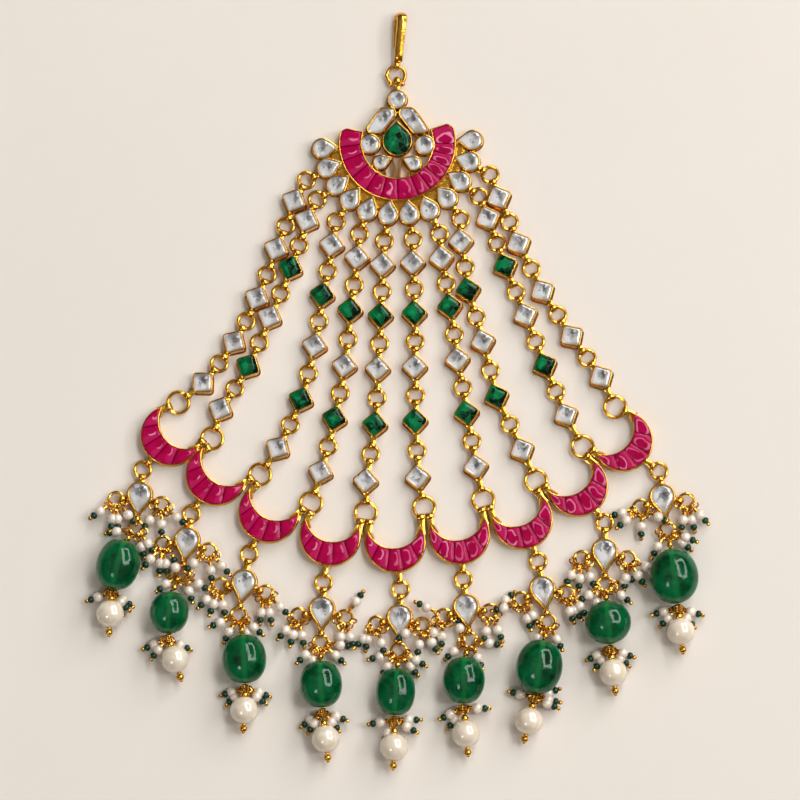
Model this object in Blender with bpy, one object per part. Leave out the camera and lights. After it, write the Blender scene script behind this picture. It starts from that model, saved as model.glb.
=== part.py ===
"""Side head ornament: a hook and a stone-set medallion, from which ten chains of square
settings fan out to nine enamelled crescents, each with a pear drop, a green bead and a pearl.

It lies flat, with its settings' backs on z = 0. X runs across it, +Y towards the hook, and the
origin is the centre of the medallion's crescent, on the back. Lengths are in metres.
"""

import math

import bmesh
import bpy
from mathutils import Matrix, Vector

MM = 0.001

# Clearance between separate pieces, and what a joined piece reaches into its neighbour
GAP = 0.3 * MM
BITE = 0.9 * MM

# Rings
RING_SIDES = 10
WIRE_SIDES = 5
RING_HEIGHT = 1.3 * MM
LINK_RADIUS = 2.03 * MM
LINK_WIRE = 0.8 * MM
END_RING_RADIUS = 2.68 * MM
END_RING_WIRE = 0.85 * MM
TOP_RING_RADIUS = 2.3 * MM
TOP_RING_WIRE = 0.8 * MM

# Bails: a strap wrapped tight on a ring of its own chain, an eye round a ring of the next piece
STRAP_WIDTH = 1.55 * MM
STRAP_WALL = 0.42 * MM
EYE_WIDTH = 0.9 * MM
EYE_WALL = 0.32 * MM
EYE_CLEARANCE = 0.33 * MM
EYE_SPREAD = 20.5

# Square settings of the chains
SQUARE_SIDE = 4.4 * MM
SQUARE_WALL_HEIGHT = 2.4 * MM
SQUARE_CROWN_HEIGHT = 0.5 * MM
SQUARE_TABLE_INSET = 0.85 * MM

# Pear settings of the drops and of the medallion's border
PEAR_ARC_STEPS = 6
PEAR_WALL_HEIGHT = 2.5 * MM
PEAR_CROWN_HEIGHT = 0.5 * MM
PEAR_TABLE_INSET = 0.9 * MM
DROP_PEAR_RADIUS = 3.1 * MM
DROP_PEAR_REACH = 5.1 * MM
BORDER_PEAR_RADIUS = 2.35 * MM
BORDER_PEAR_SEAT = 19.1 * MM
BORDER_BEARINGS = (
    -174.1, -158.7, -144.0, -129.1, -113.6, -97.1,
    -81.0, -64.8, -48.4, -32.8, -16.1, 0.6,
)

# Medallion
MEDALLION_OUTER = 14.7 * MM
MEDALLION_INNER = 8.9 * MM
MEDALLION_ENDS = (164.0, 380.5)
MEDALLION_SEAT_HEIGHT = 2.1 * MM
MEDALLION_RIM = 0.5 * MM
MEDALLION_STONE_HEIGHT = 0.7 * MM
MEDALLION_TABLE_SHARE = 0.6
MEDALLION_ARC_STEPS = 10
ENAMEL_HEIGHT = 0.5 * MM
ROUND_SETTING_SIDES = 8

# The stones inside the crescent, as shares of its inner radius
TOP_ROUND_CENTRE = (0.0, 1.191 * MEDALLION_INNER)
TOP_ROUND_RADIUS = 0.281 * MEDALLION_INNER
SIDE_ROUND_CENTRE = (0.758 * MEDALLION_INNER, -0.079 * MEDALLION_INNER)
SIDE_ROUND_RADIUS = 0.292 * MEDALLION_INNER
GREEN_PEAR_CENTRE = (0.0, 0.022 * MEDALLION_INNER)
GREEN_PEAR_RADIUS = 0.433 * MEDALLION_INNER
GREEN_PEAR_REACH = 0.528 * MEDALLION_INNER
SMALL_PEAR_CENTRE = (0.489 * MEDALLION_INNER, -0.612 * MEDALLION_INNER)
SMALL_PEAR_RADIUS = 0.219 * MEDALLION_INNER
SMALL_PEAR_REACH = 0.404 * MEDALLION_INNER
SMALL_PEAR_BEARING = 157.0
SHOULDER_CORNERS = (
    (0.022, 0.843), (0.112, 0.978), (0.472, 0.955), (0.921, 0.36),
    (0.854, 0.281), (0.337, 0.27), (0.202, 0.371), (0.022, 0.674),
)
STEM_OFFSETS = (1.0 * MM, 0.55 * MM)
STEM_WIDTH = 0.5 * MM
STEM_BITE = 0.5 * MM
STEM_HEIGHT = 1.7 * MM

# Enamelled crescents: half the distance between the horns, and the two arcs' centres off that line
CRESCENT_HALF = 6.75 * MM
CRESCENT_OUTER_DROP = 3.43 * MM
CRESCENT_INNER_RISE = 2.05 * MM
CRESCENT_HEIGHT = 3.0 * MM
CRESCENT_OUTER_STEPS = 7
CRESCENT_INNER_STEPS = 5
HORN_SHARE = 0.09

# Drops
DROP_PIN = 0.8 * MM
PIN_BITE = 1.8 * MM
BEAD_SIDES = 10
BEAD_PROFILE = ((0.68, 0.78), (0.0, 1.0), (-0.68, 0.78))
PEARL_RADIUS = 3.4 * MM
PEARL_PROFILE = ((0.42, 0.95), (-0.42, 0.95))
PEARL_NECK = 0.6 * MM
PEARL_NECK_SEAT = 0.92
PEARL_END = 2.4 * MM

# Top ring, then the hook: the middle of the bent strip as (distance above the ring, z), and its
# width where it starts and where it bends
TOP_RING_RISE = 6.6 * MM
TOP_RING_CENTRE = (-0.3 * MM, TOP_ROUND_CENTRE[1] + TOP_RING_RISE)
HOOK_LINE = (
    (3.1, 1.5), (4.4, 1.8), (7.3, 2.7), (11.3, 3.4), (13.8, 3.3),
    (15.0, 2.5), (15.1, 1.4), (14.2, 0.6), (10.8, 0.45), (7.4, 0.7),
)
HOOK_THICKNESS = 0.8 * MM
HOOK_WIDTH_BENT = 3.4 * MM
HOOK_WIDTH_NECK = 2.1 * MM

# Routes of the chains, in millimetres: the first ring, the five square settings, the end ring
CHAIN_ROUTES = (
    (
        (-22.9, -9.4), (-25.8, -14.8), (-30.3, -26.8), (-35.1, -39.1),
        (-40.8, -50.1), (-48.6, -60.2), (-54.9, -64.8),
    ),
    (
        (-20.2, -14.3), (-22.6, -19.7), (-26.7, -31.6), (-31.9, -43.9),
        (-37.3, -56.1), (-44.2, -66.8), (-46.4, -73.8),
    ),
    (
        (-15.4, -19.8), (-16.3, -25.9), (-18.7, -38.4), (-20.6, -51.0),
        (-24.0, -64.5), (-29.8, -76.6), (-34.4, -82.9),
    ),
    (
        (-9.5, -22.9), (-10.0, -29.1), (-11.7, -42.2), (-13.1, -56.1),
        (-15.6, -69.3), (-19.1, -82.6), (-21.6, -90.0),
    ),
    (
        (-3.3, -24.7), (-3.6, -30.9), (-4.1, -43.6), (-4.8, -56.9),
        (-5.5, -70.8), (-7.8, -84.9), (-7.9, -92.4),
    ),
    (
        (3.9, -24.3), (4.0, -30.4), (4.4, -43.0), (4.5, -56.4),
        (4.6, -69.9), (5.2, -84.0), (6.7, -91.1),
    ),
    (
        (10.6, -22.9), (11.2, -29.2), (13.3, -41.3), (15.2, -54.6),
        (17.5, -67.9), (19.8, -81.3), (21.5, -89.2),
    ),
    (
        (15.9, -19.2), (16.1, -25.0), (17.9, -37.2), (21.6, -50.1),
        (25.0, -63.8), (31.4, -77.1), (34.7, -84.4),
    ),
    (
        (20.6, -13.5), (22.9, -19.2), (27.2, -31.1), (32.3, -43.4),
        (37.1, -55.9), (42.4, -68.3), (46.4, -75.9),
    ),
    (
        (23.3, -8.0), (25.7, -14.0), (30.6, -25.5), (36.6, -37.4),
        (43.9, -48.6), (51.3, -58.8), (54.6, -65.9),
    ),
)

# Each crescent's left and right horn, in millimetres
CRESCENT_HORNS = (
    ((-58.6, -66.7), (-49.8, -76.3)),
    ((-48.5, -77.0), (-38.1, -85.1)),
    ((-37.0, -86.9), (-24.4, -92.9)),
    ((-23.0, -94.1), (-9.5, -96.1)),
    ((-7.6, -96.7), (6.1, -95.7)),
    ((8.4, -95.3), (21.7, -93.3)),
    ((23.7, -93.8), (36.2, -88.4)),
    ((37.5, -87.4), (48.8, -79.4)),
    ((49.6, -77.6), (58.0, -67.5)),
)

# Routes of the drops, in millimetres: ring, pear, bead and pearl, then the bead's width and length
DROP_ROUTES = (
    ((-63.8, -82.3), (-64.5, -88.6), (-68.4, -105.0), (-71.7, -117.9), (10.1, 12.1)),
    ((-51.6, -93.4), (-52.6, -100.0), (-55.7, -116.6), (-55.5, -129.3), (9.9, 11.1)),
    ((-37.1, -103.5), (-38.3, -110.5), (-37.5, -128.4), (-38.2, -142.0), (10.1, 12.4)),
    ((-18.5, -110.6), (-18.8, -117.3), (-18.6, -134.5), (-17.9, -149.2), (9.9, 11.8)),
    ((0.8, -112.3), (0.6, -119.3), (-0.2, -136.4), (-0.9, -151.2), (9.2, 11.9)),
    ((16.5, -109.8), (17.2, -116.7), (16.5, -133.5), (17.1, -147.9), (10.1, 11.8)),
    ((35.2, -105.3), (36.3, -112.2), (35.2, -130.1), (32.8, -144.7), (10.6, 13.3)),
    ((51.9, -95.6), (51.9, -102.8), (52.2, -119.2), (53.8, -132.6), (10.4, 11.1)),
    ((65.5, -82.7), (66.4, -89.1), (68.5, -107.7), (70.7, -122.3), (10.8, 13.8)),
)

# Finishes: colour, metallic, roughness
FINISHES = {
    "gold": ((0.86, 0.55, 0.14), 1.0, 0.22),
    "magenta_enamel": ((0.48, 0.0, 0.07), 0.0, 0.08),
    "clear_stone": ((0.82, 0.82, 0.84), 0.0, 0.05),
    "green_stone": ((0.0, 0.16, 0.06), 0.0, 0.06),
    "green_bead": ((0.0, 0.14, 0.05), 0.0, 0.1),
    "pearl": ((0.86, 0.8, 0.75), 0.0, 0.2),
}


def at(place, z=0.0):
    """A place given in millimetres, as a vector in metres at height z."""
    return Vector((place[0] * MM, place[1] * MM, z))


def bearing(direction):
    return math.atan2(direction.y, direction.x)


def heading(angle):
    return Vector((math.cos(angle), math.sin(angle), 0.0))


# Shells: each of these adds one closed shell to a bmesh


def add_prism(shapes, outline, low, high):
    """An outline raised from low to high. It gives back the top face."""
    floor = shapes.faces.new([shapes.verts.new((p.x, p.y, low)) for p in outline])
    floor.normal_update()
    if floor.normal.z > 0:
        floor.normal_flip()
    raised = bmesh.ops.extrude_face_region(shapes, geom=[floor], use_keep_orig=True)["geom"]
    top = next(item for item in raised if isinstance(item, bmesh.types.BMFace))
    bmesh.ops.translate(shapes, verts=top.verts, vec=(0.0, 0.0, high - low))
    top.normal_update()
    if top.normal.z < 0:
        top.normal_flip()
    return top


def add_crown(shapes, top, inwards, upwards):
    """Facets from a setting's top edge up to a stone's table. It gives back the facets."""
    facets = bmesh.ops.inset_region(shapes, faces=[top], thickness=inwards, use_even_offset=True)["faces"]
    bmesh.ops.translate(shapes, verts=top.verts, vec=(0.0, 0.0, upwards))
    return facets


def turn_table(shapes, top, facets):
    """A square table turned by half a corner, so that each side facet parts into two."""
    middle = top.calc_center_median()
    bmesh.ops.rotate(shapes, verts=top.verts, cent=middle, matrix=Matrix.Rotation(math.pi / 4, 3, "Z"))
    for facet in facets:
        low = [vert for vert in facet.verts if vert not in top.verts]
        high = [vert for vert in facet.verts if vert in top.verts]
        edge_middle = (low[0].co + low[1].co) / 2
        raised = min(high, key=lambda vert: (vert.co - edge_middle).length)
        beside = {edge.other_vert(raised) for edge in raised.link_edges}
        across = next(vert for vert in low if vert not in beside)
        bmesh.ops.connect_verts(shapes, verts=[raised, across])


def add_ring(shapes, centre, radius, wire, towards):
    """A ring lying flat, with the middle of one of its sides towards an angle."""
    start = towards + math.pi / RING_SIDES
    spot = centre + heading(start) * radius
    turned = Matrix.Rotation(start, 4, "Z") @ Matrix.Rotation(math.pi / 2, 4, "X")
    place = Matrix.Translation(spot) @ turned
    section = bmesh.ops.create_circle(shapes, segments=WIRE_SIDES, radius=wire / 2, matrix=place)["verts"]
    edges = list({edge for vert in section for edge in vert.link_edges})
    bmesh.ops.spin(
        shapes, geom=section + edges, cent=centre, axis=(0.0, 0.0, 1.0),
        angle=2 * math.pi, steps=RING_SIDES, use_merge=True,
    )


def add_bar(shapes, start, end, width, height):
    """A square-ended bar between two points."""
    along = end - start
    place = Matrix.Translation((start + end) / 2) @ along.to_track_quat("X", "Z").to_matrix().to_4x4()
    sized = Matrix.Diagonal((along.length, width, height, 1.0))
    bmesh.ops.create_cube(shapes, size=1.0, matrix=place @ sized)


def add_strap(shapes, body, body_reach, ring, radius, wire):
    """A bail that leaves a setting and closes tight round a ring's near side."""
    level = Vector((0.0, 0.0, RING_HEIGHT))
    out = (ring - body).normalized()
    far = ring - out * (radius - wire / 2 - STRAP_WALL)
    start = body + out * (body_reach - BITE)
    add_bar(shapes, start + level, far + level, STRAP_WIDTH, wire + 2 * STRAP_WALL)


def add_eye(shapes, on_wire, tail, wire):
    """A bail whose eye holds a ring's wire loosely, and whose tail ends in the piece it belongs to."""
    hole = wire / 2 + EYE_CLEARANCE
    outer = hole + EYE_WALL
    out = (tail - on_wire).normalized()
    reach = (tail - on_wire).length
    side = Vector((-out.y, out.x, 0.0)) * (EYE_WIDTH / 2)
    base = on_wire - side + Vector((0.0, 0.0, RING_HEIGHT))
    outline = ((-outer, -outer), (reach, -outer), (reach, outer), (-outer, outer))
    window = ((-hole, -hole), (hole, -hole), (hole, hole), (-hole, hole))
    loops = [
        [shapes.verts.new(base + out * along + Vector((0.0, 0.0, up))) for along, up in corners]
        for corners in (outline, window)
    ]
    edges = [shapes.edges.new((loop[i], loop[(i + 1) % 4])) for loop in loops for i in range(4)]
    faces = bmesh.ops.bridge_loops(shapes, edges=edges)["faces"]
    drawn = bmesh.ops.extrude_face_region(shapes, geom=faces, use_keep_orig=True)["geom"]
    moved = [item for item in drawn if isinstance(item, bmesh.types.BMVert)]
    bmesh.ops.translate(shapes, verts=moved, vec=side * 2)


def add_turned(shapes, centre, axis, sides, profile, ends):
    """A turned body: rings of (distance along the axis, radius) closed by the two end distances."""
    frame = axis.to_track_quat("Z", "Y").to_matrix().to_4x4()
    place = Matrix.Translation(centre) @ frame
    spots = [place @ Vector((0.0, 0.0, ends[0]))]
    spots += [place @ Vector((radius, 0.0, along)) for along, radius in profile]
    spots.append(place @ Vector((0.0, 0.0, ends[1])))
    line = [shapes.verts.new(spot) for spot in spots]
    edges = [shapes.edges.new(pair) for pair in zip(line, line[1:])]
    bmesh.ops.spin(
        shapes, geom=line + edges, cent=centre, axis=axis, angle=2 * math.pi, steps=sides, use_merge=True
    )
    bmesh.ops.remove_doubles(shapes, verts=shapes.verts, dist=0.001 * MM)


# Outlines


def teardrop(centre, radius, reach, towards, steps=PEAR_ARC_STEPS):
    """A pear's outline: a point at reach, and the arc between the tangents from it."""
    opening = math.acos(radius / reach)
    outline = [centre + heading(towards) * reach]
    for i in range(steps + 1):
        turn = opening + (2 * math.pi - 2 * opening) * i / steps
        outline.append(centre + heading(towards + turn) * radius)
    return outline


def polygon(centre, radius, sides):
    return [centre + heading(2 * math.pi * i / sides) * radius for i in range(sides)]


def sector(inner, outer, start, end, steps):
    """An arched band between two radii, round the origin."""
    turns = [math.radians(start + (end - start) * i / steps) for i in range(steps + 1)]
    return [heading(turn) * outer for turn in turns] + [heading(turn) * inner for turn in reversed(turns)]


def mirrored(outline):
    return [Vector((-p.x, p.y, p.z)) for p in reversed(outline)]


# Objects


def material(finish):
    found = bpy.data.materials.get(finish)
    if found:
        return found
    colour, metallic, roughness = FINISHES[finish]
    made = bpy.data.materials.new(finish)
    made.use_nodes = True
    shader = made.node_tree.nodes["Principled BSDF"]
    shader.inputs["Base Color"].default_value = (*colour, 1.0)
    shader.inputs["Metallic"].default_value = metallic
    shader.inputs["Roughness"].default_value = roughness
    return made


def solid(name, shapes, finish):
    bmesh.ops.recalc_face_normals(shapes, faces=shapes.faces)
    mesh = bpy.data.meshes.new(name)
    shapes.to_mesh(mesh)
    shapes.free()
    mesh.materials.append(material(finish))
    made = bpy.data.objects.new(name, mesh)
    bpy.context.scene.collection.objects.link(made)
    return made


def soldered(name, groups, finish):
    """One body made of several groups of shells, where the shells of one group stand apart."""
    made = solid(name, groups[0], finish)
    for number, group in enumerate(groups[1:], start=1):
        helper = solid(f"{name}_join_{number}", group, finish)
        helper.hide_render = True
        helper.display_type = "WIRE"
        joint = made.modifiers.new(f"solder_{number}", "BOOLEAN")
        joint.operation = "UNION"
        joint.solver = "EXACT"
        joint.object = helper
    return made


# Sub-parts


def build_hook():
    """The bent strip, with the eye at its neck."""
    strip = bmesh.new()
    ring = Vector((*TOP_RING_CENTRE, 0.0))
    line = [Vector((0.0, ring.y + y * MM, z * MM)) for y, z in HOOK_LINE]
    sides = ([], [])
    for i, spot in enumerate(line):
        along = (line[min(i + 1, len(line) - 1)] - line[max(i - 1, 0)]).normalized()
        across = Vector((0.0, -along.z, along.y)) * (HOOK_THICKNESS / 2)
        sides[0].append(spot + across)
        sides[1].append(spot - across)
    outline = sides[0] + sides[1][::-1]
    profile = strip.faces.new([strip.verts.new(p - Vector((MM / 2, 0.0, 0.0))) for p in outline])
    drawn = bmesh.ops.extrude_face_region(strip, geom=[profile], use_keep_orig=True)["geom"]
    moved = [item for item in drawn if isinstance(item, bmesh.types.BMVert)]
    bmesh.ops.translate(strip, verts=moved, vec=(MM, 0.0, 0.0))
    low, high = line[0].y, line[4].y
    for vert in strip.verts:
        share = min(1.0, max(0.0, (vert.co.y - low) / (high - low)))
        vert.co.x *= (HOOK_WIDTH_NECK + (HOOK_WIDTH_BENT - HOOK_WIDTH_NECK) * share) / MM
    neck = bmesh.new()
    tail = line[0] + Vector((0.0, BITE, -line[0].z))
    add_eye(neck, ring + (tail - ring).normalized() * TOP_RING_RADIUS, tail, TOP_RING_WIRE)
    soldered("hook", [strip, neck], "gold")


def build_top_ring():
    shapes = bmesh.new()
    add_ring(shapes, Vector((*TOP_RING_CENTRE, RING_HEIGHT)), TOP_RING_RADIUS, TOP_RING_WIRE, math.pi / 2)
    solid("top_ring", shapes, "gold")


def medallion_seats():
    """The outline of each stone's seat in the medallion, by stone."""
    right = Vector((*SIDE_ROUND_CENTRE, 0.0))
    pear = Vector((*SMALL_PEAR_CENTRE, 0.0))
    shoulder = [Vector((*corner, 0.0)) * MEDALLION_INNER for corner in SHOULDER_CORNERS]
    round_right = polygon(right, SIDE_ROUND_RADIUS, ROUND_SETTING_SIDES)
    small_right = teardrop(pear, SMALL_PEAR_RADIUS, SMALL_PEAR_REACH, math.radians(SMALL_PEAR_BEARING))
    middle = Vector((*GREEN_PEAR_CENTRE, 0.0))
    green = teardrop(middle, GREEN_PEAR_RADIUS, GREEN_PEAR_REACH, math.pi / 2, PEAR_ARC_STEPS + 1)
    return {
        "stone_top_round": polygon(Vector((*TOP_ROUND_CENTRE, 0.0)), TOP_ROUND_RADIUS, ROUND_SETTING_SIDES),
        "stone_shoulder_right": shoulder,
        "stone_shoulder_left": mirrored(shoulder),
        "stone_green_pear": green,
        "stone_round_right": round_right,
        "stone_round_left": mirrored(round_right),
        "stone_small_pear_right": small_right,
        "stone_small_pear_left": mirrored(small_right),
    }


def build_medallion():
    """The soldered frame with its border pears and bails, then its stones and enamel."""
    arch = sector(MEDALLION_INNER, MEDALLION_OUTER, *MEDALLION_ENDS, MEDALLION_ARC_STEPS)
    groups = [bmesh.new()]
    add_prism(groups[0], arch, 0.0, MEDALLION_SEAT_HEIGHT)
    border = bmesh.new()
    border_reach = BORDER_PEAR_SEAT - MEDALLION_OUTER + MEDALLION_RIM
    for angle in map(math.radians, BORDER_BEARINGS):
        seat = heading(angle) * BORDER_PEAR_SEAT
        outline = teardrop(seat, BORDER_PEAR_RADIUS, border_reach, angle + math.pi)
        top = add_prism(border, outline, 0.0, PEAR_WALL_HEIGHT)
        add_crown(border, top, PEAR_TABLE_INSET, PEAR_CROWN_HEIGHT)
    groups.append(border)
    seats = medallion_seats()
    for outline in seats.values():
        seat = bmesh.new()
        add_prism(seat, outline, 0.0, MEDALLION_SEAT_HEIGHT)
        groups.append(seat)
    bails = bmesh.new()
    top_ring = Vector((*TOP_RING_CENTRE, 0.0))
    top_round = Vector((*TOP_ROUND_CENTRE, 0.0))
    down = (top_round - top_ring).normalized()
    tail = top_round - down * (TOP_ROUND_RADIUS - BITE)
    add_eye(bails, top_ring + down * TOP_RING_RADIUS, tail, TOP_RING_WIRE)
    for angle, route in zip(BORDER_BEARINGS[1:-1], CHAIN_ROUTES):
        ring = at(route[0])
        seat = heading(math.radians(angle)) * BORDER_PEAR_SEAT
        back = (seat - ring).normalized()
        add_eye(bails, ring + back * LINK_RADIUS, seat - back * (BORDER_PEAR_RADIUS - BITE), LINK_WIRE)
    for side in (-1.0, 1.0):
        high = Vector((side * STEM_OFFSETS[0], -GREEN_PEAR_RADIUS + STEM_BITE, MEDALLION_SEAT_HEIGHT / 2))
        low = Vector((side * STEM_OFFSETS[1], -MEDALLION_INNER - STEM_BITE, MEDALLION_SEAT_HEIGHT / 2))
        add_bar(bails, high, low, STEM_WIDTH, STEM_HEIGHT)
    groups.append(bails)
    soldered("medallion_frame", groups, "gold")

    floor = MEDALLION_SEAT_HEIGHT + GAP
    for name, outline in seats.items():
        stone = bmesh.new()
        add_stone(stone, outline, floor)
        solid(name, stone, "green_stone" if name == "stone_green_pear" else "clear_stone")
    enamel = bmesh.new()
    slant = math.degrees(MEDALLION_RIM / MEDALLION_OUTER)
    inside = (MEDALLION_ENDS[0] + slant, MEDALLION_ENDS[1] - slant)
    inner, outer = MEDALLION_INNER + MEDALLION_RIM, MEDALLION_OUTER - MEDALLION_RIM
    band = sector(inner, outer, *inside, MEDALLION_ARC_STEPS)
    add_prism(enamel, band, floor, floor + ENAMEL_HEIGHT)
    solid("medallion_enamel", enamel, "magenta_enamel")


def add_stone(shapes, seat, low):
    """A cut stone: its girdle a rim's width inside the seat, its facets up to a table."""
    girdle = shapes.faces.new([shapes.verts.new((p.x, p.y, low)) for p in seat])
    inset = bmesh.ops.inset_region
    rim = inset(shapes, faces=[girdle], thickness=MEDALLION_RIM, use_even_offset=True)["faces"]
    bmesh.ops.delete(shapes, geom=rim, context="FACES")
    table = add_prism(shapes, [vert.co for vert in girdle.verts], low, low + MEDALLION_STONE_HEIGHT)
    bmesh.ops.delete(shapes, geom=[girdle], context="FACES")
    middle = table.calc_center_median()
    for vert in table.verts:
        vert.co = middle + (vert.co - middle) * MEDALLION_TABLE_SHARE


def build_chain(number, route):
    """Rings, straps and square settings, fused into one body."""
    spots = [at(place) for place in route]
    squares = spots[1:-1]
    links = [spots[0]] + [(a + b) / 2 for a, b in zip(squares, squares[1:])] + [spots[-1]]
    settings, rings, straps = bmesh.new(), bmesh.new(), bmesh.new()
    for i, spot in enumerate(squares):
        along = bearing(links[i + 1] - links[i])
        outline = [spot + heading(along + math.pi / 2 * k) * (SQUARE_SIDE / math.sqrt(2)) for k in range(4)]
        top = add_prism(settings, outline, 0.0, SQUARE_WALL_HEIGHT)
        turn_table(settings, top, add_crown(settings, top, SQUARE_TABLE_INSET, SQUARE_CROWN_HEIGHT))
    corner = SQUARE_SIDE / math.sqrt(2)
    for i, link in enumerate(links):
        last = i == len(squares)
        radius, wire = (END_RING_RADIUS, END_RING_WIRE) if last else (LINK_RADIUS, LINK_WIRE)
        nearest = squares[i - 1] if last else squares[i]
        lifted = link + Vector((0.0, 0.0, RING_HEIGHT))
        turn = math.pi / RING_SIDES if last else 0.0
        add_ring(rings, lifted, radius, wire, bearing(nearest - link) + turn)
        for square in squares[max(i - 1, 0) : i + 1]:
            add_strap(straps, square, corner, link, radius, wire)
    soldered(f"chain_{number:02d}", [settings, rings, straps], "gold")


def crescent_frame(horns):
    """The middle between the horns, the way to the right horn and the way down."""
    left, right = map(at, horns)
    across = (right - left).normalized()
    return (left + right) / 2, across, Vector((across.y, -across.x, 0.0))


def crescent_arc(horns, inner, shares):
    """Points of the outer or inner arc, at shares of its length from the left horn."""
    middle, across, down = crescent_frame(horns)
    offset = -CRESCENT_INNER_RISE if inner else CRESCENT_OUTER_DROP
    centre = middle + down * offset
    radius = math.hypot(CRESCENT_HALF, offset)
    tip = math.atan2(-offset, CRESCENT_HALF)
    sweep = math.pi - 2 * tip
    turns = [math.pi - tip - sweep * share for share in shares]
    return [centre + (across * math.cos(turn) + down * math.sin(turn)) * radius for turn in turns]


def horn_anchor(horns, right):
    share = 1.0 - HORN_SHARE if right else HORN_SHARE
    return sum((crescent_arc(horns, inner, [share])[0] for inner in (False, True)), Vector()) / 2


def horn_eyes(number):
    """Where the two eyes of a crescent hold their rings, as (place on the wire, tail)."""
    held = []
    for right in (False, True):
        ring_number = number + right
        ring = at(CHAIN_ROUTES[ring_number][-1])
        mine = horn_anchor(CRESCENT_HORNS[number], right)
        towards = bearing(mine - ring)
        other = number + 1 if right else number - 1
        if 0 <= other < len(CRESCENT_HORNS):
            theirs = horn_anchor(CRESCENT_HORNS[other], not right)
            halfway = bearing((mine - ring).normalized() + (theirs - ring).normalized())
            towards = halfway + math.radians(-EYE_SPREAD if right else EYE_SPREAD)
        held.append((ring + heading(towards) * END_RING_RADIUS, mine))
    return held


def build_crescent(number):
    horns = CRESCENT_HORNS[number]
    body, eyes = bmesh.new(), bmesh.new()
    outer_shares = [i / CRESCENT_OUTER_STEPS for i in range(CRESCENT_OUTER_STEPS + 1)]
    inner_shares = [1 - i / CRESCENT_INNER_STEPS for i in range(1, CRESCENT_INNER_STEPS)]
    outline = crescent_arc(horns, False, outer_shares) + crescent_arc(horns, True, inner_shares)
    add_prism(body, outline, 0.0, CRESCENT_HEIGHT)
    for on_wire, tail in horn_eyes(number):
        add_eye(eyes, on_wire, tail, END_RING_WIRE)
    middle, _, down = crescent_frame(horns)
    centre = middle + down * CRESCENT_OUTER_DROP
    ring = at(DROP_ROUTES[number][0])
    back = (centre - ring).normalized()
    rim = centre - back * (math.hypot(CRESCENT_HALF, CRESCENT_OUTER_DROP) - BITE)
    add_eye(eyes, ring + back * LINK_RADIUS, rim, LINK_WIRE)
    soldered(f"crescent_{number + 1}", [body, eyes], "gold")


def drop_frame(number):
    """The drop's ring, pear circle, pear tip, bead and pearl as places, and the bead's axis."""
    ring, pear, bead, pearl = map(at, DROP_ROUTES[number][:4])
    down = (pear - ring).normalized()
    round_part = pear - down * (DROP_PEAR_REACH - DROP_PEAR_RADIUS) / 2
    tip = round_part + down * DROP_PEAR_REACH
    return ring, round_part, tip, bead, pearl, (tip - pearl).normalized()


def build_pendant(number):
    """Ring, strap, pear setting and the pin that carries the bead."""
    ring, round_part, tip, bead, _, up = drop_frame(number)
    width, length = DROP_ROUTES[number][4]
    rings, settings, straps = bmesh.new(), bmesh.new(), bmesh.new()
    down = (round_part - ring).normalized()
    add_ring(rings, ring + Vector((0.0, 0.0, RING_HEIGHT)), LINK_RADIUS, LINK_WIRE, bearing(down))
    outline = teardrop(round_part, DROP_PEAR_RADIUS, DROP_PEAR_REACH, bearing(down))
    top = add_prism(settings, outline, 0.0, PEAR_WALL_HEIGHT)
    add_crown(settings, top, PEAR_TABLE_INSET, PEAR_CROWN_HEIGHT)
    add_strap(straps, round_part, DROP_PEAR_RADIUS, ring, LINK_RADIUS, LINK_WIRE)
    start = tip - down * PIN_BITE + Vector((0.0, 0.0, RING_HEIGHT))
    end = bead + up * (length * MM / 2 + GAP) + Vector((0.0, 0.0, width * MM / 2))
    add_bar(straps, start, end, DROP_PIN, DROP_PIN)
    soldered(f"pendant_{number + 1}", [settings, rings, straps], "gold")


def build_bead(number):
    _, _, _, bead, _, up = drop_frame(number)
    width, length = (size * MM / 2 for size in DROP_ROUTES[number][4])
    profile = [(along * length, round_share * width) for along, round_share in BEAD_PROFILE]
    shapes = bmesh.new()
    add_turned(shapes, bead + Vector((0.0, 0.0, width)), up, BEAD_SIDES, profile, (length, -length))
    solid(f"green_bead_{number + 1}", shapes, "green_bead")


def build_pearl(number):
    """The pearl with its pin up to the bead and its gold end."""
    _, _, _, bead, pearl, up = drop_frame(number)
    width, length = (size * MM / 2 for size in DROP_ROUTES[number][4])
    bead_end = bead - up * length + Vector((0.0, 0.0, width))
    centre = pearl + Vector((0.0, 0.0, PEARL_RADIUS))
    axis = (bead_end - centre).normalized()
    neck = (bead_end - centre).length - GAP
    profile = [(PEARL_RADIUS * PEARL_NECK_SEAT, PEARL_NECK)]
    profile += [(along * PEARL_RADIUS, share * PEARL_RADIUS) for along, share in PEARL_PROFILE]
    shapes = bmesh.new()
    add_turned(shapes, centre, axis, BEAD_SIDES, profile, (neck, -PEARL_RADIUS - PEARL_END))
    solid(f"pearl_{number + 1}", shapes, "pearl")


def main():
    for leftover in list(bpy.data.objects):
        bpy.data.objects.remove(leftover)
    build_hook()
    build_top_ring()
    build_medallion()
    for number, route in enumerate(CHAIN_ROUTES, start=1):
        build_chain(number, route)
    for number in range(len(CRESCENT_HORNS)):
        build_crescent(number)
        build_pendant(number)
        build_bead(number)
        build_pearl(number)


main()
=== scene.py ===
"""Looks of the side head ornament: gold, kundan stones, magenta inlay, green beads and pearls.

Shapes are drawn in millimetres round the centre of the medallion's crescent, lying on z = 0,
and each finished piece is scaled to metres.
"""

import math
import random

import bmesh
import bpy
from mathutils import Matrix, Vector


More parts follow.
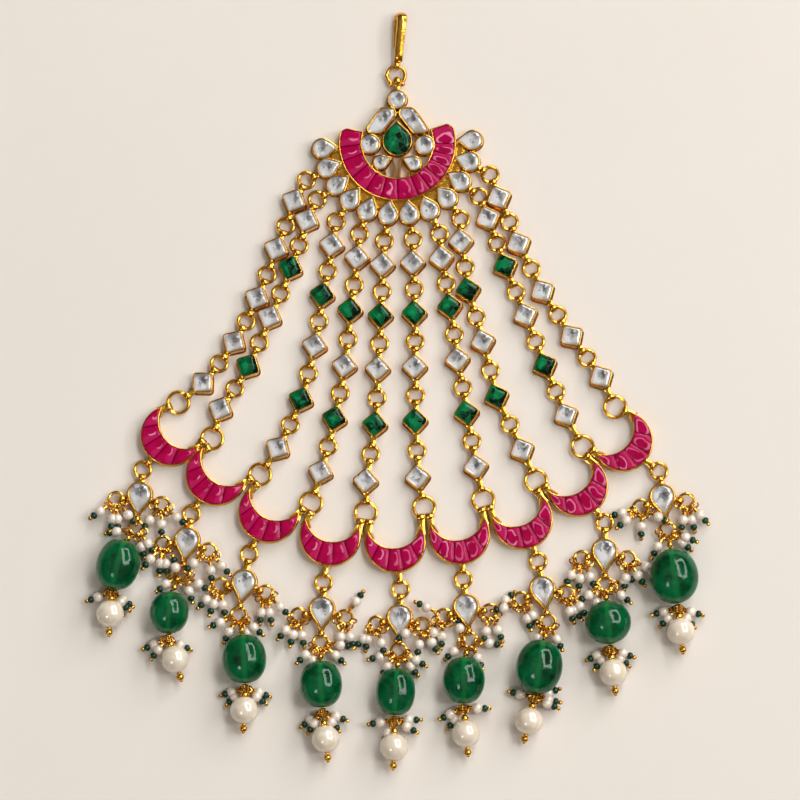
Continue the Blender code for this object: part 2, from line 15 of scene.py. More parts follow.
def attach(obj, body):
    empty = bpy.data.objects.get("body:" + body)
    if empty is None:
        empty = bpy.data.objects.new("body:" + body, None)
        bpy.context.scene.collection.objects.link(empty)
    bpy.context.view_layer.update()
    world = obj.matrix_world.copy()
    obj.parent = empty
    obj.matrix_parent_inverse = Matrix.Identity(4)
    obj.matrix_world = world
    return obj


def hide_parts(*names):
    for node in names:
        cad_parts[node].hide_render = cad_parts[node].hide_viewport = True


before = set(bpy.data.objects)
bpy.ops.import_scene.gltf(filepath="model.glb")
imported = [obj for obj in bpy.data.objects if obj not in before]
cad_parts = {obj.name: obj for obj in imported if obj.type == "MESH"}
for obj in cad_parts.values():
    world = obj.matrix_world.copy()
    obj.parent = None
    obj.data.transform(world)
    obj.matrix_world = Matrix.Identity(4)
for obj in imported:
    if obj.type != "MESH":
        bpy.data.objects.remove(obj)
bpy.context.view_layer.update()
chance = random.Random(7)
UP = Vector((0.0, 0.0, 1.0))
ALONG_X = Matrix.Rotation(math.pi / 2, 4, "Y")

# Middle of the whole ornament, round which the studio is set up
FAN_MIDDLE = (0.0, -65.0)

# Heights above the surface that the ornament lies on
RING_LEVEL = 1.3
SQUARE_TOP = 2.7
PEAR_TOP = 2.8
MEDALLION_TOP = 3.0
CRESCENT_TOP = 2.95

# Wire rings: radius to the middle of the wire, and the wire
LINK = (1.98, 0.97)
END_RING = (2.65, 0.98)
TOP_RING = (2.28, 0.98)
SIDE_RING = (1.9, 0.82)

# Edges sharper than this many degrees stay crisp
CREASE = 32.0

# Settings: squares by their side, and pears by the radius of their round end and the reach of their tip
BAIL_SHEET = 0.42
SQUARE_SIDE = 4.95
SQUARE_SHIFT = (-0.2, 0.3)
DROP_PEAR = (3.18, 5.6)
BORDER_PEAR = (2.62, 4.25)

# Border pears round the medallion: how far out, each one's shift upwards, and its bearing
BORDER_SEAT = 19.0
BORDER_RISE = (0.5, 0.5, 0.35, 0.25, 0.15, 0.6, 0.6, 0.1, 0.1, 0.5, 0.5, 0.45)
BORDER_BEARINGS = (
    -174.1, -158.7, -144.0, -129.1, -113.6, -97.1,
    -81.0, -64.8, -48.4, -32.8, -16.1, 0.6,
)

# How far in a rounded outline keeps its fillets
FILLET_INSET = 0.4

# Medallion: the channel's radii and ends, the inlay's dividing lines, and the stones inside
CHANNEL = (8.9, 14.7)
OUTER_ENDS = (164.2, 381.2)
INNER_ENDS = (161.6, 382.4)
CHANNEL_LINES = (
    183.6, 198.1, 217.4, 236.5, 253.4, 270.6,
    291.9, 305.6, 319.7, 334.6, 347.5, 359.8,
)
TOP_ROUND = (0.0, 11.0, 2.5)
SIDE_ROUNDS = ((-6.85, -0.35, 2.6), (6.9, -0.6, 2.6))
GREEN_PEAR = ((-0.05, 0.4), 3.75, 5.1, 90.0)
SMALL_PEARS = (((-4.3, -5.0), 1.95, 3.4, 23.0), ((4.2, -5.25), 1.95, 3.4, 157.0))
SHOULDER = ((0.2, 6.9), (3.9, 2.15), (9.0, 2.25), (4.2, 9.0), (0.35, 9.0))
TOP_RING_PLACE = (-0.3, 17.2)

# Routes of the chains: the first ring, the five square settings, the end ring
CHAINS = (
    (
        (-22.9, -9.4), (-25.8, -14.8), (-30.3, -26.8), (-35.1, -39.1),
        (-40.8, -50.1), (-48.6, -60.2), (-54.9, -64.8),
    ),
    (
        (-20.2, -14.3), (-22.6, -19.7), (-26.7, -31.6), (-31.9, -43.9),
        (-37.3, -56.1), (-44.2, -66.8), (-46.4, -73.8),
    ),
    (
        (-15.4, -19.8), (-16.3, -25.9), (-18.7, -38.4), (-20.6, -51.0),
        (-24.0, -64.5), (-29.8, -76.6), (-34.4, -82.9),
    ),
    (
        (-9.5, -22.9), (-10.0, -29.1), (-11.7, -42.2), (-13.1, -56.1),
        (-15.6, -69.3), (-19.1, -82.6), (-21.6, -90.0),
    ),
    (
        (-3.3, -24.7), (-3.6, -30.9), (-4.1, -43.6), (-4.8, -56.9),
        (-5.5, -70.8), (-7.8, -84.9), (-7.9, -92.4),
    ),
    (
        (3.9, -24.3), (4.0, -30.4), (4.4, -43.0), (4.5, -56.4),
        (4.6, -69.9), (5.2, -84.0), (6.7, -91.1),
    ),
    (
        (10.6, -22.9), (11.2, -29.2), (13.3, -41.3), (15.2, -54.6),
        (17.5, -67.9), (19.8, -81.3), (21.5, -89.2),
    ),
    (
        (15.9, -19.2), (16.1, -25.0), (17.9, -37.2), (21.6, -50.1),
        (25.0, -63.8), (31.4, -77.1), (34.7, -84.4),
    ),
    (
        (20.6, -13.5), (22.9, -19.2), (27.2, -31.1), (32.3, -43.4),
        (37.1, -55.9), (42.4, -68.3), (46.4, -75.9),
    ),
    (
        (23.3, -8.0), (25.7, -14.0), (30.6, -25.5), (36.6, -37.4),
        (43.9, -48.6), (51.3, -58.8), (54.6, -65.9),
    ),
)
GREEN_SQUARES = (1, 3)

# Each crescent's left and right horn, its arcs, and its inlay's dividing lines
HORNS = (
    ((-58.6, -66.7), (-49.8, -76.3)),
    ((-48.5, -77.0), (-38.1, -85.1)),
    ((-37.0, -86.9), (-24.4, -92.9)),
    ((-23.0, -94.1), (-9.5, -96.1)),
    ((-7.6, -96.7), (6.1, -95.7)),
    ((8.4, -95.3), (21.7, -93.3)),
    ((23.7, -93.8), (36.2, -88.4)),
    ((37.5, -87.4), (48.8, -79.4)),
    ((49.6, -77.6), (58.0, -67.5)),
)
HALF_CHORD = 6.75
OUTER_DROP = 3.43
INNER_RISE = 2.05
CRESCENT_LINES = (0.245, 0.41, 0.555, 0.72)
HORN_SHARE = 0.09
OUTER_RADIUS = math.hypot(HALF_CHORD, OUTER_DROP)
INNER_RADIUS = math.hypot(HALF_CHORD, INNER_RISE)
EYE_SPREAD = 25.0

# Drops: ring, pear, pear's tip, left and right side rings, bead, pearl, and the bead's width and length
DROPS = (
    ((-63.8, -82.3), (-64.5, -88.6), (-68.4, -105.0), (-71.7, -117.9), (10.1, 12.1)),
    ((-51.6, -93.4), (-52.6, -100.0), (-55.7, -116.6), (-55.5, -129.3), (9.9, 11.1)),
    ((-37.1, -103.5), (-38.3, -110.5), (-37.5, -128.4), (-38.2, -142.0), (10.1, 12.4)),
    ((-18.5, -110.6), (-18.8, -117.3), (-18.6, -134.5), (-17.9, -149.2), (9.9, 11.8)),
    ((0.8, -112.3), (0.6, -119.3), (-0.2, -136.4), (-0.9, -151.2), (9.2, 11.9)),
    ((16.5, -109.8), (17.2, -116.7), (16.5, -133.5), (17.1, -147.9), (10.1, 11.8)),
    ((35.2, -105.3), (36.3, -112.2), (35.2, -130.1), (32.8, -144.7), (10.6, 13.3)),
    ((51.9, -95.6), (51.9, -102.8), (52.2, -119.2), (53.8, -132.6), (10.4, 11.1)),
    ((65.5, -82.7), (66.4, -89.1), (68.5, -107.7), (70.7, -122.3), (10.8, 13.8)),
)
PEARL_RADIUS = 3.52
BEAD_ROUNDING = (0.76, 0.85, 0.8, 0.78, 0.7, 0.85, 0.85, 1.0, 0.92)
# How far beads, pearls and crescents lie below their solids, in the photograph
BEAD_DROP = 1.75
PEARL_DROP = 0.65
CRESCENT_DROP = (0.0, 0.0, 0.1, 0.45, 0.95, 0.85, 0.45, 0.25, 0.45)
# Each visible bead against its solid: moved right, moved up, width, length
BEAD_FIT = (
    (-0.5, 0.4, 1.08, 1.04), (-0.6, 0.0, 0.99, 0.96), (-0.25, 0.2, 1.1, 0.99),
    (-0.2, 0.0, 1.07, 0.99), (-0.2, 0.0, 1.07, 0.98), (-0.1, 0.0, 1.05, 1.0),
    (-0.2, -0.1, 1.1, 1.02), (-0.25, 0.1, 1.12, 0.99), (-0.25, 0.15, 1.14, 1.0),
)


def at(place, z=0.0):
    """A spot over a place on the surface."""
    return Vector((place[0], place[1], z))


def heading(degrees):
    """The level direction of a bearing, counter-clockwise from the right."""
    turn = math.radians(degrees)
    return Vector((math.cos(turn), math.sin(turn), 0.0))


def bearing(direction):
    """The bearing of a level direction, in degrees."""
    return math.degrees(math.atan2(direction.y, direction.x))


# Outlines: each gives its points for an inset


def circle(centre, radius, sides=36):
    """A round outline."""
    return lambda inset: [centre + heading(360 * i / sides) * (radius - inset) for i in range(sides)]


def pear(centre, radius, reach, towards, steps=26):
    """A teardrop: a point at reach, and the arc between the tangents from it."""
    opening = math.degrees(math.acos(radius / reach))
    turns = [opening + (360 - 2 * opening) * i / steps for i in range(steps + 1)]

    def outline(inset):
        size = (radius - inset) / radius
        tip = centre + heading(towards) * reach * size
        arc = [centre + heading(towards + turn) * radius * size for turn in turns]
        first = [tip.lerp(arc[0], share) for share in (0.35, 0.7)]
        last = [arc[-1].lerp(tip, share) for share in (0.3, 0.65)]
        return [tip] + first + arc + last

    return outline


def rounded(corners, fillet, steps=4):
    """A polygon, drawn counter-clockwise, with rounded corners, that shrinks to its middle further in."""
    middle = sum(corners, Vector()) / len(corners)
    reach = min((a + b - middle * 2).length / 2 for a, b in zip(corners, corners[1:]))

    def outline(inset):
        spots = []
        count = len(corners)
        held = min(inset, FILLET_INSET)
        radius = max(fillet - held, 0.06)
        for i, corner in enumerate(corners):
            back = (corners[i - 1] - corner).normalized()
            on = (corners[(i + 1) % count] - corner).normalized()
            half = back.angle(on) / 2
            inward = (back + on).normalized()
            centre = corner + inward * ((held + radius) / math.sin(half))
            start = bearing(-inward) - (90 - math.degrees(half))
            for k in range(steps + 1):
                spots.append(centre + heading(start + (180 - 2 * math.degrees(half)) * k / steps) * radius)
        share = max(0.1, 1 - (inset - held) / (reach - held))
        return [middle + (spot - middle) * share for spot in spots]

    return outline


def channel_spot(share, inner, inset):
    """A point of the medallion's channel, at a share of its inner or outer arc, from the left end."""
    radius = CHANNEL[0] + inset if inner else CHANNEL[1] - inset
    start, end = INNER_ENDS if inner else OUTER_ENDS
    slant = math.degrees(inset / radius)
    turn = start + slant + (end - start - 2 * slant) * share
    away = math.radians(min(turn - start, end - turn)) * radius
    if not inner:
        radius -= 1.5 * (1 - min(1.0, away / 2.4)) ** 2.5
    return heading(turn) * radius


def channel_outline(inset, steps=96):
    ease = [i / steps for i in range(steps + 1)]
    shares = [0.0, 0.004, 0.008, 0.013, 0.02, 0.028, *ease[3:-3], 0.972, 0.98, 0.987, 0.992, 0.996, 1.0]
    out = [channel_spot(share, False, inset) for share in shares]
    back = [channel_spot(share, True, inset) for share in reversed(ease)]
    return out + back


class Crescent:
    """Two arcs that meet in horns."""

    def __init__(self, number):
        left, right = map(at, HORNS[number])
        self.middle = (left + right) / 2 - at((0.0, CRESCENT_DROP[number]))
        self.across = (right - left).normalized()
        self.down = Vector((self.across.y, -self.across.x, 0.0))

    def spot(self, share, inner, inset):
        """A point of one arc, at a share of its length from the left horn."""
        outer_radius = OUTER_RADIUS - inset
        inner_radius = INNER_RADIUS + inset
        span = OUTER_DROP + INNER_RISE
        low = (INNER_RISE**2 - OUTER_DROP**2 + outer_radius**2 - inner_radius**2) / (-2 * span)
        half = math.sqrt(outer_radius**2 - (low - OUTER_DROP) ** 2)
        offset, radius = (-INNER_RISE, inner_radius) if inner else (OUTER_DROP, outer_radius)
        tip = math.atan2(low - offset, half)
        turn = math.pi - tip - (math.pi - 2 * tip) * share
        reach = self.across * math.cos(turn) + self.down * math.sin(turn)
        return self.middle + self.down * offset + reach * radius

    def outline(self, steps=30):
        def drawn(inset):
            out = [self.spot(i / steps, False, inset) for i in range(steps + 1)]
            back = [self.spot(1 - i / steps, True, inset) for i in range(1, steps)]
            return out + back

        return drawn

    def horn(self, right):
        """The middle of one horn, where its bail is soldered."""
        share = 1 - HORN_SHARE if right else HORN_SHARE
        return (self.spot(share, False, 0.0) + self.spot(share, True, 0.0)) / 2


# Shells: each adds one closed shell to a bmesh


def add_stack(shapes, layers):
    """A body drawn through outlines of one length, from its first cap to its last."""
    verts = [shapes.verts.new(spot) for spot in layers[0]]
    cap = shapes.faces.new(verts)
    for number, layer in enumerate(layers[1:]):
        drawn = bmesh.ops.extrude_face_region(shapes, geom=[cap])["geom"]
        if number:
            bmesh.ops.delete(shapes, geom=[cap], context="FACES_ONLY")
        cap = next(item for item in drawn if isinstance(item, bmesh.types.BMFace))
        raised = set(cap.verts)
        verts = [
            next(other for other in (edge.other_vert(vert) for edge in vert.link_edges) if other in raised)
            for vert in verts
        ]
        for vert, spot in zip(verts, layer):
            vert.co = spot


def add_walls(shapes, outline, profile):
    """A body whose wall follows an outline, through steps of (inset, height)."""
    add_stack(shapes, [[at(spot, z) for spot in outline(inset)] for inset, z in profile])


def add_setting(shapes, outline, top, rim=0.34, depth=0.35, flare=0.2, lean=(0.0, 0.0)):
    """A box setting with a base flange, a rounded rim and a floor for its stone; lean moves its foot."""
    profile = [
        (0.1 - flare, 0.0), (-flare, 0.12), (-flare, 0.45), (0.0, 0.62), (0.03, top - 0.45),
        (-0.02, top - 0.2), (0.03, top - 0.07), (0.11, top - 0.01), (0.18, top), (rim - 0.08, top - 0.04),
        (rim - 0.01, top - 0.14), (rim + 0.02, top - depth),
    ]
    layers = []
    for inset, z in profile:
        foot = at(lean) * max(0.0, 1 - z / (top - 0.2))
        layers.append([at(spot, z) + foot for spot in outline(inset)])
    add_stack(shapes, layers)


def chart_of(shapes):
    """The UV map in which a pattern follows the surface."""
    return shapes.loops.layers.uv.get("chart") or shapes.loops.layers.uv.new("chart")


def add_stone(shapes, outline, seat, centre, size, profile):
    """A stone in its setting, through steps of (inset, height over the seat), charted from -1 to 1."""
    first = len(shapes.faces)
    add_walls(shapes, outline, [(inset, seat + up) for inset, up in profile])
    chart = chart_of(shapes)
    shapes.faces.ensure_lookup_table()
    for face in shapes.faces[first:]:
        for loop in face.loops:
            loop[chart].uv = ((loop.vert.co.x - centre.x) / size, (loop.vert.co.y - centre.y) / size)


def set_stone(gold, stones, outline, top, centre, size, profile, rim=0.34):
    """A box setting and the stone in it."""
    add_setting(gold, outline, top, rim)
    add_stone(stones, outline, top - 0.35, centre, size, profile)


def dome(size, rim=0.3, rise=0.5):
    """Steps of a softly domed stone for a setting of that half width."""
    room = size - rim
    steps = ((0.0, -0.05), (0.01, 0.12), (0.06, 0.5), (0.14, 0.8), (0.3, 0.93), (0.55, 0.98), (0.8, 1.0))
    return [(rim + share * room, up * rise) for share, up in steps]


def table_cut(size, rim=0.3, rise=0.5):
    """Steps of a stone with slanting sides and a table."""
    room = size - rim
    steps = ((0.0, -0.05), (0.01, 0.05), (0.03, 0.1), (0.38, 0.94), (0.41, 0.98), (0.45, 1.0), (0.7, 1.01))
    return [(rim + share * room, up * rise) for share, up in steps]


def ring_shape(shapes, radius, wire, sides, wire_sides):
    """A closed wire ring, flat round the origin."""
    turned = Matrix.Translation((radius, 0.0, 0.0)) @ Matrix.Rotation(math.pi / 2, 4, "X")
    section = bmesh.ops.create_circle(shapes, segments=wire_sides, radius=wire / 2, matrix=turned)["verts"]
    edges = list({edge for vert in section for edge in vert.link_edges})
    bmesh.ops.spin(
        shapes, geom=section + edges, cent=(0.0, 0.0, 0.0), axis=(0.0, 0.0, 1.0),
        angle=2 * math.pi, steps=sides, use_merge=True,
    )


def ball_shape(shapes, radius, sides, rings, squash=1.0, centre=(0.0, 0.0, 0.0)):
    """A ball with its poles along X, where it may be squashed."""
    place = Matrix.Translation(centre) @ Matrix.Diagonal((squash, 1.0, 1.0, 1.0)) @ ALONG_X
    bmesh.ops.create_uvsphere(shapes, u_segments=sides, v_segments=rings, radius=radius, matrix=place)


def pattern(build, *sizes):
    """A mesh that is copied into place many times."""
    shapes = bmesh.new()
    build(shapes, *sizes)
    bmesh.ops.recalc_face_normals(shapes, faces=shapes.faces)
    mesh = bpy.data.meshes.new("pattern")
    shapes.to_mesh(mesh)
    shapes.free()
    return mesh


def add_copy(shapes, mesh, place):
    """A copy of a pattern, put in its place."""
    copy = mesh.copy()
    copy.transform(place)
    shapes.from_mesh(copy)
    bpy.data.meshes.remove(copy)


def lying(centre, tilt):
    """A place flat on the surface, turned and tilted a little."""
    turn = Matrix.Rotation(chance.uniform(0, 2 * math.pi), 4, "Z")
    lean = Matrix.Rotation(math.radians(chance.uniform(-tilt, tilt)), 4, "X")
    return Matrix.Translation(centre) @ lean @ turn


# Cross-sections of bars, for a width and a thickness of 1
SECTION = (
    (0.5, 0.22), (0.36, 0.5), (-0.36, 0.5), (-0.5, 0.22),
    (-0.5, -0.22), (-0.36, -0.5), (0.36, -0.5), (0.5, -0.22),
)
ROUND_SECTION = tuple(tuple(heading(36 * i).xy * 0.5) for i in range(10))


def add_sweep(shapes, line, across, section=SECTION):
    """A bar along a line of (spot, width, thickness), whose width lies along across."""
    layers = []
    for i, (spot, width, thickness) in enumerate(line):
        tangent = (line[min(i + 1, len(line) - 1)][0] - line[max(i - 1, 0)][0]).normalized()
        side = (across - tangent * across.dot(tangent)).normalized()
        normal = tangent.cross(side)
        layers.append([spot + side * (width * w) + normal * (thickness * t) for w, t in section])
    add_stack(shapes, layers)


def add_bail(shapes, tail, spot, wire, width=1.95, neck=1.4, level=RING_LEVEL):
    """A strap that leaves a setting at its tail, closes over a ring's wire and comes back below it."""
    reach = (spot - tail).length
    out = (spot - tail).normalized()
    side = Vector((-out.y, out.x, 0.0))
    turn = wire / 2 + BAIL_SHEET / 2 + 0.02
    over = [
        (0.0, turn * 1.1, neck * 1.3),
        (reach * 0.3, turn * 0.85, neck),
        (reach * 0.62, turn * 0.9, neck * 1.05),
    ]
    curl = [
        (reach + turn * math.sin(math.radians(step)), turn * math.cos(math.radians(step)), width)
        for step in range(0, 181, 30)
    ]
    under = [(along, -up, wide) for along, up, wide in reversed(over)]
    line = [
        (at(tail, level) + out * along + UP * up, wide, BAIL_SHEET)
        for along, up, wide in over + curl + under
    ]
    add_sweep(shapes, line, side)
    barrel = Matrix((out, side, UP)).transposed().to_4x4() @ Matrix.Diagonal((0.84, width * 0.56, 0.6, 1.0))
    place = Matrix.Translation(at(spot - out * 0.1, level + wire / 2 + 0.12)) @ barrel
    bmesh.ops.create_uvsphere(shapes, u_segments=12, v_segments=8, radius=1.0, matrix=place)


def smooth_line(points, steps=4):
    """Points between the given ones, on a curve through them."""
    line = []
    for i in range(len(points) - 1):
        before, a, b, after = (
            Vector(points[max(0, min(len(points) - 1, k))]) for k in (i - 1, i, i + 1, i + 2)
        )
        for k in range(steps):
            t = k / steps
            line.append(
                (a * 2 + (b - before) * t + (before * 2 - a * 5 + b * 4 - after) * t**2
                 + (a * 3 - before - b * 3 + after) * t**3) / 2
            )
    line.append(Vector(points[-1]))
    return line


# Materials


class Wire:
    """One value in a material, with arithmetic."""

    def __init__(self, look, socket):
        self.look = look
        self.socket = socket

    def made(self, operation, *values):
        """The result of one Math node."""
        return self.look.node("ShaderNodeMath", {"operation": operation}, dict(enumerate(values)))

    def __add__(self, other):
        return self.made("ADD", self, other)

    __radd__ = __add__

    def __sub__(self, other):
        return self.made("SUBTRACT", self, other)

    def __rsub__(self, other):
        return self.made("SUBTRACT", other, self)

    def __mul__(self, other):
        return self.made("MULTIPLY", self, other)

    __rmul__ = __mul__

    def __truediv__(self, other):
        return self.made("DIVIDE", self, other)

    def __pow__(self, other):
        return self.made("POWER", self, other)

    def __abs__(self):
        return self.made("ABSOLUTE", self)

    def step(self, low, high):
        """0 below low, 1 above high and smooth between; low may be the larger."""
        ends = {"Value": self, "From Min": low, "From Max": high}
        return self.look.node("ShaderNodeMapRange", {"interpolation_type": "SMOOTHSTEP"}, ends)


class Look:
    """A material and the nodes that make it."""

    def __init__(self, name, **constants):
        self.material = bpy.data.materials.new(name)
        self.material.use_nodes = True
        self.nodes = self.material.node_tree.nodes
        self.links = self.material.node_tree.links
        self.shader = self.nodes["Principled BSDF"]
        self.feed(**constants)

    def fill(self, node, key, value):
        """A socket's link, or its constant."""
        if isinstance(value, Wire):
            self.links.new(value.socket, node.inputs[key])
        else:
            node.inputs[key].default_value = value

    def node(self, kind, settings, values, output=0):
        """A node of that kind, set up first, with its sockets' values or links."""
        node = self.nodes.new(kind)
        for name, value in settings.items():
            setattr(node, name, value)
        for key, value in values.items():
            self.fill(node, key, value)
        return Wire(self, node.outputs[output])

    def feed(self, **sockets):
        """The shader's own sockets, named with underscores."""
        for name, value in sockets.items():
            key = name.replace("_", " ")
            if isinstance(value, tuple) and key != "Subsurface Radius":
                value = (*value, 1.0)
            self.fill(self.shader, key, value)

    def place(self):
        """Place on the ornament, in millimetres."""
        spot = self.node("ShaderNodeTexCoord", {}, {}, "Object")
        return self.node("ShaderNodeVectorMath", {"operation": "SCALE"}, {0: spot, "Scale": 1000.0})

    def parts(self, vector):
        return [self.node("ShaderNodeSeparateXYZ", {}, {0: vector}, k) for k in range(3)]

    def chart(self):
        """The piece's own UV map, as its two values."""
        return self.parts(self.node("ShaderNodeUVMap", {"uv_map": "chart"}, {}))[:2]

    def noise(self, place, scale, detail=2.0, roughness=0.5):
        grain = {"Vector": place, "Scale": scale, "Detail": detail, "Roughness": roughness}
        return self.node("ShaderNodeTexNoise", {}, grain)

    def cells(self, place, scale):
        """A value from 0 to 1 for each cut facet."""
        colour = self.node("ShaderNodeTexVoronoi", {}, {"Vector": place, "Scale": scale}, "Color")
        return self.parts(colour)[0]

    def mix(self, share, low, high):
        """A colour between two, by a share."""
        colours = {6: low, 7: high}
        for key, colour in colours.items():
            if isinstance(colour, tuple):
                colours[key] = (*colour, 1.0)
        return self.node("ShaderNodeMix", {"data_type": "RGBA"}, {0: share, **colours}, 2)

    def bump(self, height, distance):
        """A bumped normal, with its distance in millimetres."""
        return self.node("ShaderNodeBump", {}, {"Height": height, "Distance": distance * 0.001})


def far(x, y, across=1.0, along=1.0):
    """How far a spot of a chart is from its middle, with the two ways weighted."""
    return (x * x * across + y * y * along) ** 0.5


def gold_look():
    """Polished yellow gold, a little worn and uneven."""
    look = Look("polished_gold", Metallic=1.0, Coat_Weight=0.5, Coat_IOR=1.5, Coat_Roughness=0.06)
    place = look.place()
    cloud = look.noise(place, 0.45, 3.0)
    worn = look.noise(place, 2.2, 4.0, 0.6).step(0.35, 0.75)
    tone = look.mix(cloud.step(0.3, 0.7), (0.64, 0.29, 0.02), (0.84, 0.48, 0.065))
    look.feed(
        Base_Color=tone,
        Roughness=0.13 + worn * 0.12,
        Normal=look.bump(look.noise(place, 1.1, 3.0) * 0.8 + look.noise(place, 5.0, 2.0) * 0.2, 0.08),
    )
    return look.material


def enamel_look():
    """Poured inlay: dark joints between its cells, a pale streak of painted highlight along the end of each
    cell, and painted shadow along its edges.
    """
    look = Look("magenta_inlay", Roughness=0.1, IOR=1.45, Specular_IOR_Level=0.16)
    place = look.place()
    along, across = look.chart()
    local = look.node("ShaderNodeMath", {"operation": "FRACT"}, {0: along})
    cell = along - local
    cell_chance = look.node("ShaderNodeTexWhiteNoise", {"noise_dimensions": "1D"}, {"W": cell * 3.1 + 0.7})
    cloud = look.noise(place, 0.35, 1.0)
    joint = (0.5 - abs(local - 0.5)).step(0.034, 0.012)
    # Painted highlights: thin strokes to the left of the ornament, closed loops to the right
    closed = look.parts(place)[0].step(-14.0, 14.0)
    tone = look.mix(cloud.step(0.35, 0.7), (0.34, 0.0, 0.045), (0.44, 0.0, 0.068))
    # Painted highlight: a pale pink stroke near the end of each cell, bent into a loop to the right
    u = local + (cloud - 0.5) * 0.45 - 0.38 + cell_chance * 0.12
    v = across - 0.34 - closed * 0.14 - cell_chance * 0.1 + (cloud - 0.5) * 0.4
    reach = far(u, v, 1.0, 1.6 - closed)
    streak = abs(reach - 0.36 + closed * 0.06).step(0.085 - closed * 0.02, 0.03) * local.step(0.97, 0.92)
    streak = streak * u.step(0.1 - closed * 0.4, 0.22 - closed * 0.4)
    streak = streak * abs(v).step(0.25 + closed * 0.3, 0.13 + closed * 0.3) * cloud.step(0.34, 0.44)
    # Painted highlight: a soft pale pink fill inside each loop
    painted_glow = (reach - 0.38).step(0.0, 0.06) * u.step(0.16, 0.32) * local.step(0.98, 0.9) * 0.16
    tone = look.mix(painted_glow, tone, (0.75, 0.06, 0.26))
    tone = look.mix(streak * (0.4 + cell_chance * 0.4 - closed * 0.12), tone, (0.9, 0.33, 0.55))
    # Painted shadow: a dark line along the inlay's inner and outer edges, against the rim
    edge = (0.5 - abs(across - 0.5)).step(0.045, 0.01) * 0.75
    tone = look.mix(edge, tone, (0.12, 0.0, 0.02))
    look.feed(Base_Color=look.mix(joint * 0.9, tone, (0.05, 0.0, 0.012)), Normal=look.bump(cloud, 0.25))
    return look.material


def clear_stone_look():
    """Flat-backed clear stone over silver foil, with its light and shade painted on: white painted light to
    the left, painted grey shade and a dark painted reflection above right, a painted highlight, a small
    dark painted dot and painted shade round the rim.
    """
    look = Look("foiled_clear_stone", Metallic=0.3, IOR=1.5, Coat_Weight=0.5, Coat_Roughness=0.03)
    place = look.place()
    x, y = look.chart()
    warp = look.noise(place, 0.33, 2.0)
    fine = look.noise(place, 0.9, 3.0, 0.6)
    reach = far(x, y)
    x = x + (warp - 0.5) * 0.8
    y = y + (fine - 0.5) * 0.6
    facet = look.cells(place, 0.6)
    # Painted light and shade: white towards the lower left, dark grey towards the upper right, broken up by
    # facets
    painted_lit = (x * -0.8 - y * 0.5 + (fine - 0.5) * 0.6 + (facet - 0.5) * 0.7).step(-0.4, 0.6)
    tone = look.mix(painted_lit, (0.25, 0.245, 0.25), (0.88, 0.88, 0.9))
    # Painted shade: paler grey towards the lower right
    pale = (x * 0.85 - y * 0.6 + (warp - 0.5) * 0.6).step(0.2, 0.62)
    tone = look.mix(pale, tone, (0.62, 0.6, 0.57))
    # Painted reflection: a dark patch above right
    painted_blot = far(x - 0.17, y - 0.26, 1.9, 0.5).step(0.5, 0.12) * fine.step(0.3, 0.62)
    tone = look.mix(painted_blot * 0.85, tone, (0.06, 0.055, 0.06))
    # Painted highlight above right
    painted_shine = far(x - 0.42, y - 0.5, 3.0, 3.0).step(0.3, 0.12)
    tone = look.mix(painted_shine * 0.8, tone, (0.9, 0.88, 0.86))
    # Painted reflection: a small dark dot left of the middle
    dot = far(x + 0.3, y - 0.02).step(0.11, 0.04)
    tone = look.mix(dot * 0.85, tone, (0.16, 0.17, 0.22))
    # Painted shade: a tan band round the rim, stronger to the right
    tone = look.mix(reach.step(0.6, 0.98) * (x * 0.6 + 0.6).step(0.1, 0.9) * 0.65, tone, (0.4, 0.36, 0.3))
    look.feed(Base_Color=tone, Roughness=0.1 + fine * 0.1, Normal=look.bump(fine, 0.08))
    return look.material


def green_stone_look():
    """Dark green cut stone, with painted light on a facet to the left, painted light near its middle and
    pale painted highlights along its facet edges.
    """
    look = Look("green_cut_stone", IOR=1.5, Roughness=0.05, Specular_IOR_Level=0.22)
    place = look.place()
    x, y = look.chart()
    warp = look.noise(place, 0.4, 2.0)
    fine = look.noise(place, 1.3, 3.0)
    facet = look.cells(place, 0.55)
    # Painted light and shade: bright to the left and on some facets, dark to the right
    painted_lit = (x * -0.7 + y * 0.1 + (warp - 0.5) * 0.9 + (facet - 0.5) * 1.3).step(-0.5, 0.75)
    tone = look.mix(painted_lit, (0.0, 0.01, 0.003), (0.0, 0.18, 0.055))
    # Painted light: a bright patch just left of the middle
    painted_glow = far(x + 0.2, y + 0.05).step(0.45, 0.05)
    tone = look.mix(painted_glow * fine.step(0.35, 0.7) * 0.6, tone, (0.001, 0.42, 0.15))
    edges = {"feature": "DISTANCE_TO_EDGE"}
    border = look.node("ShaderNodeTexVoronoi", edges, {"Vector": place, "Scale": 0.55}, "Distance")
    # Painted highlights: pale lines along facet edges towards the right
    line = border.step(0.05, 0.0) * (x + y * 0.3).step(-0.3, 0.4) * 0.3
    look.feed(Base_Color=look.mix(line, tone, (0.12, 0.3, 0.22)), Normal=look.bump(facet, 0.05))
    return look.material


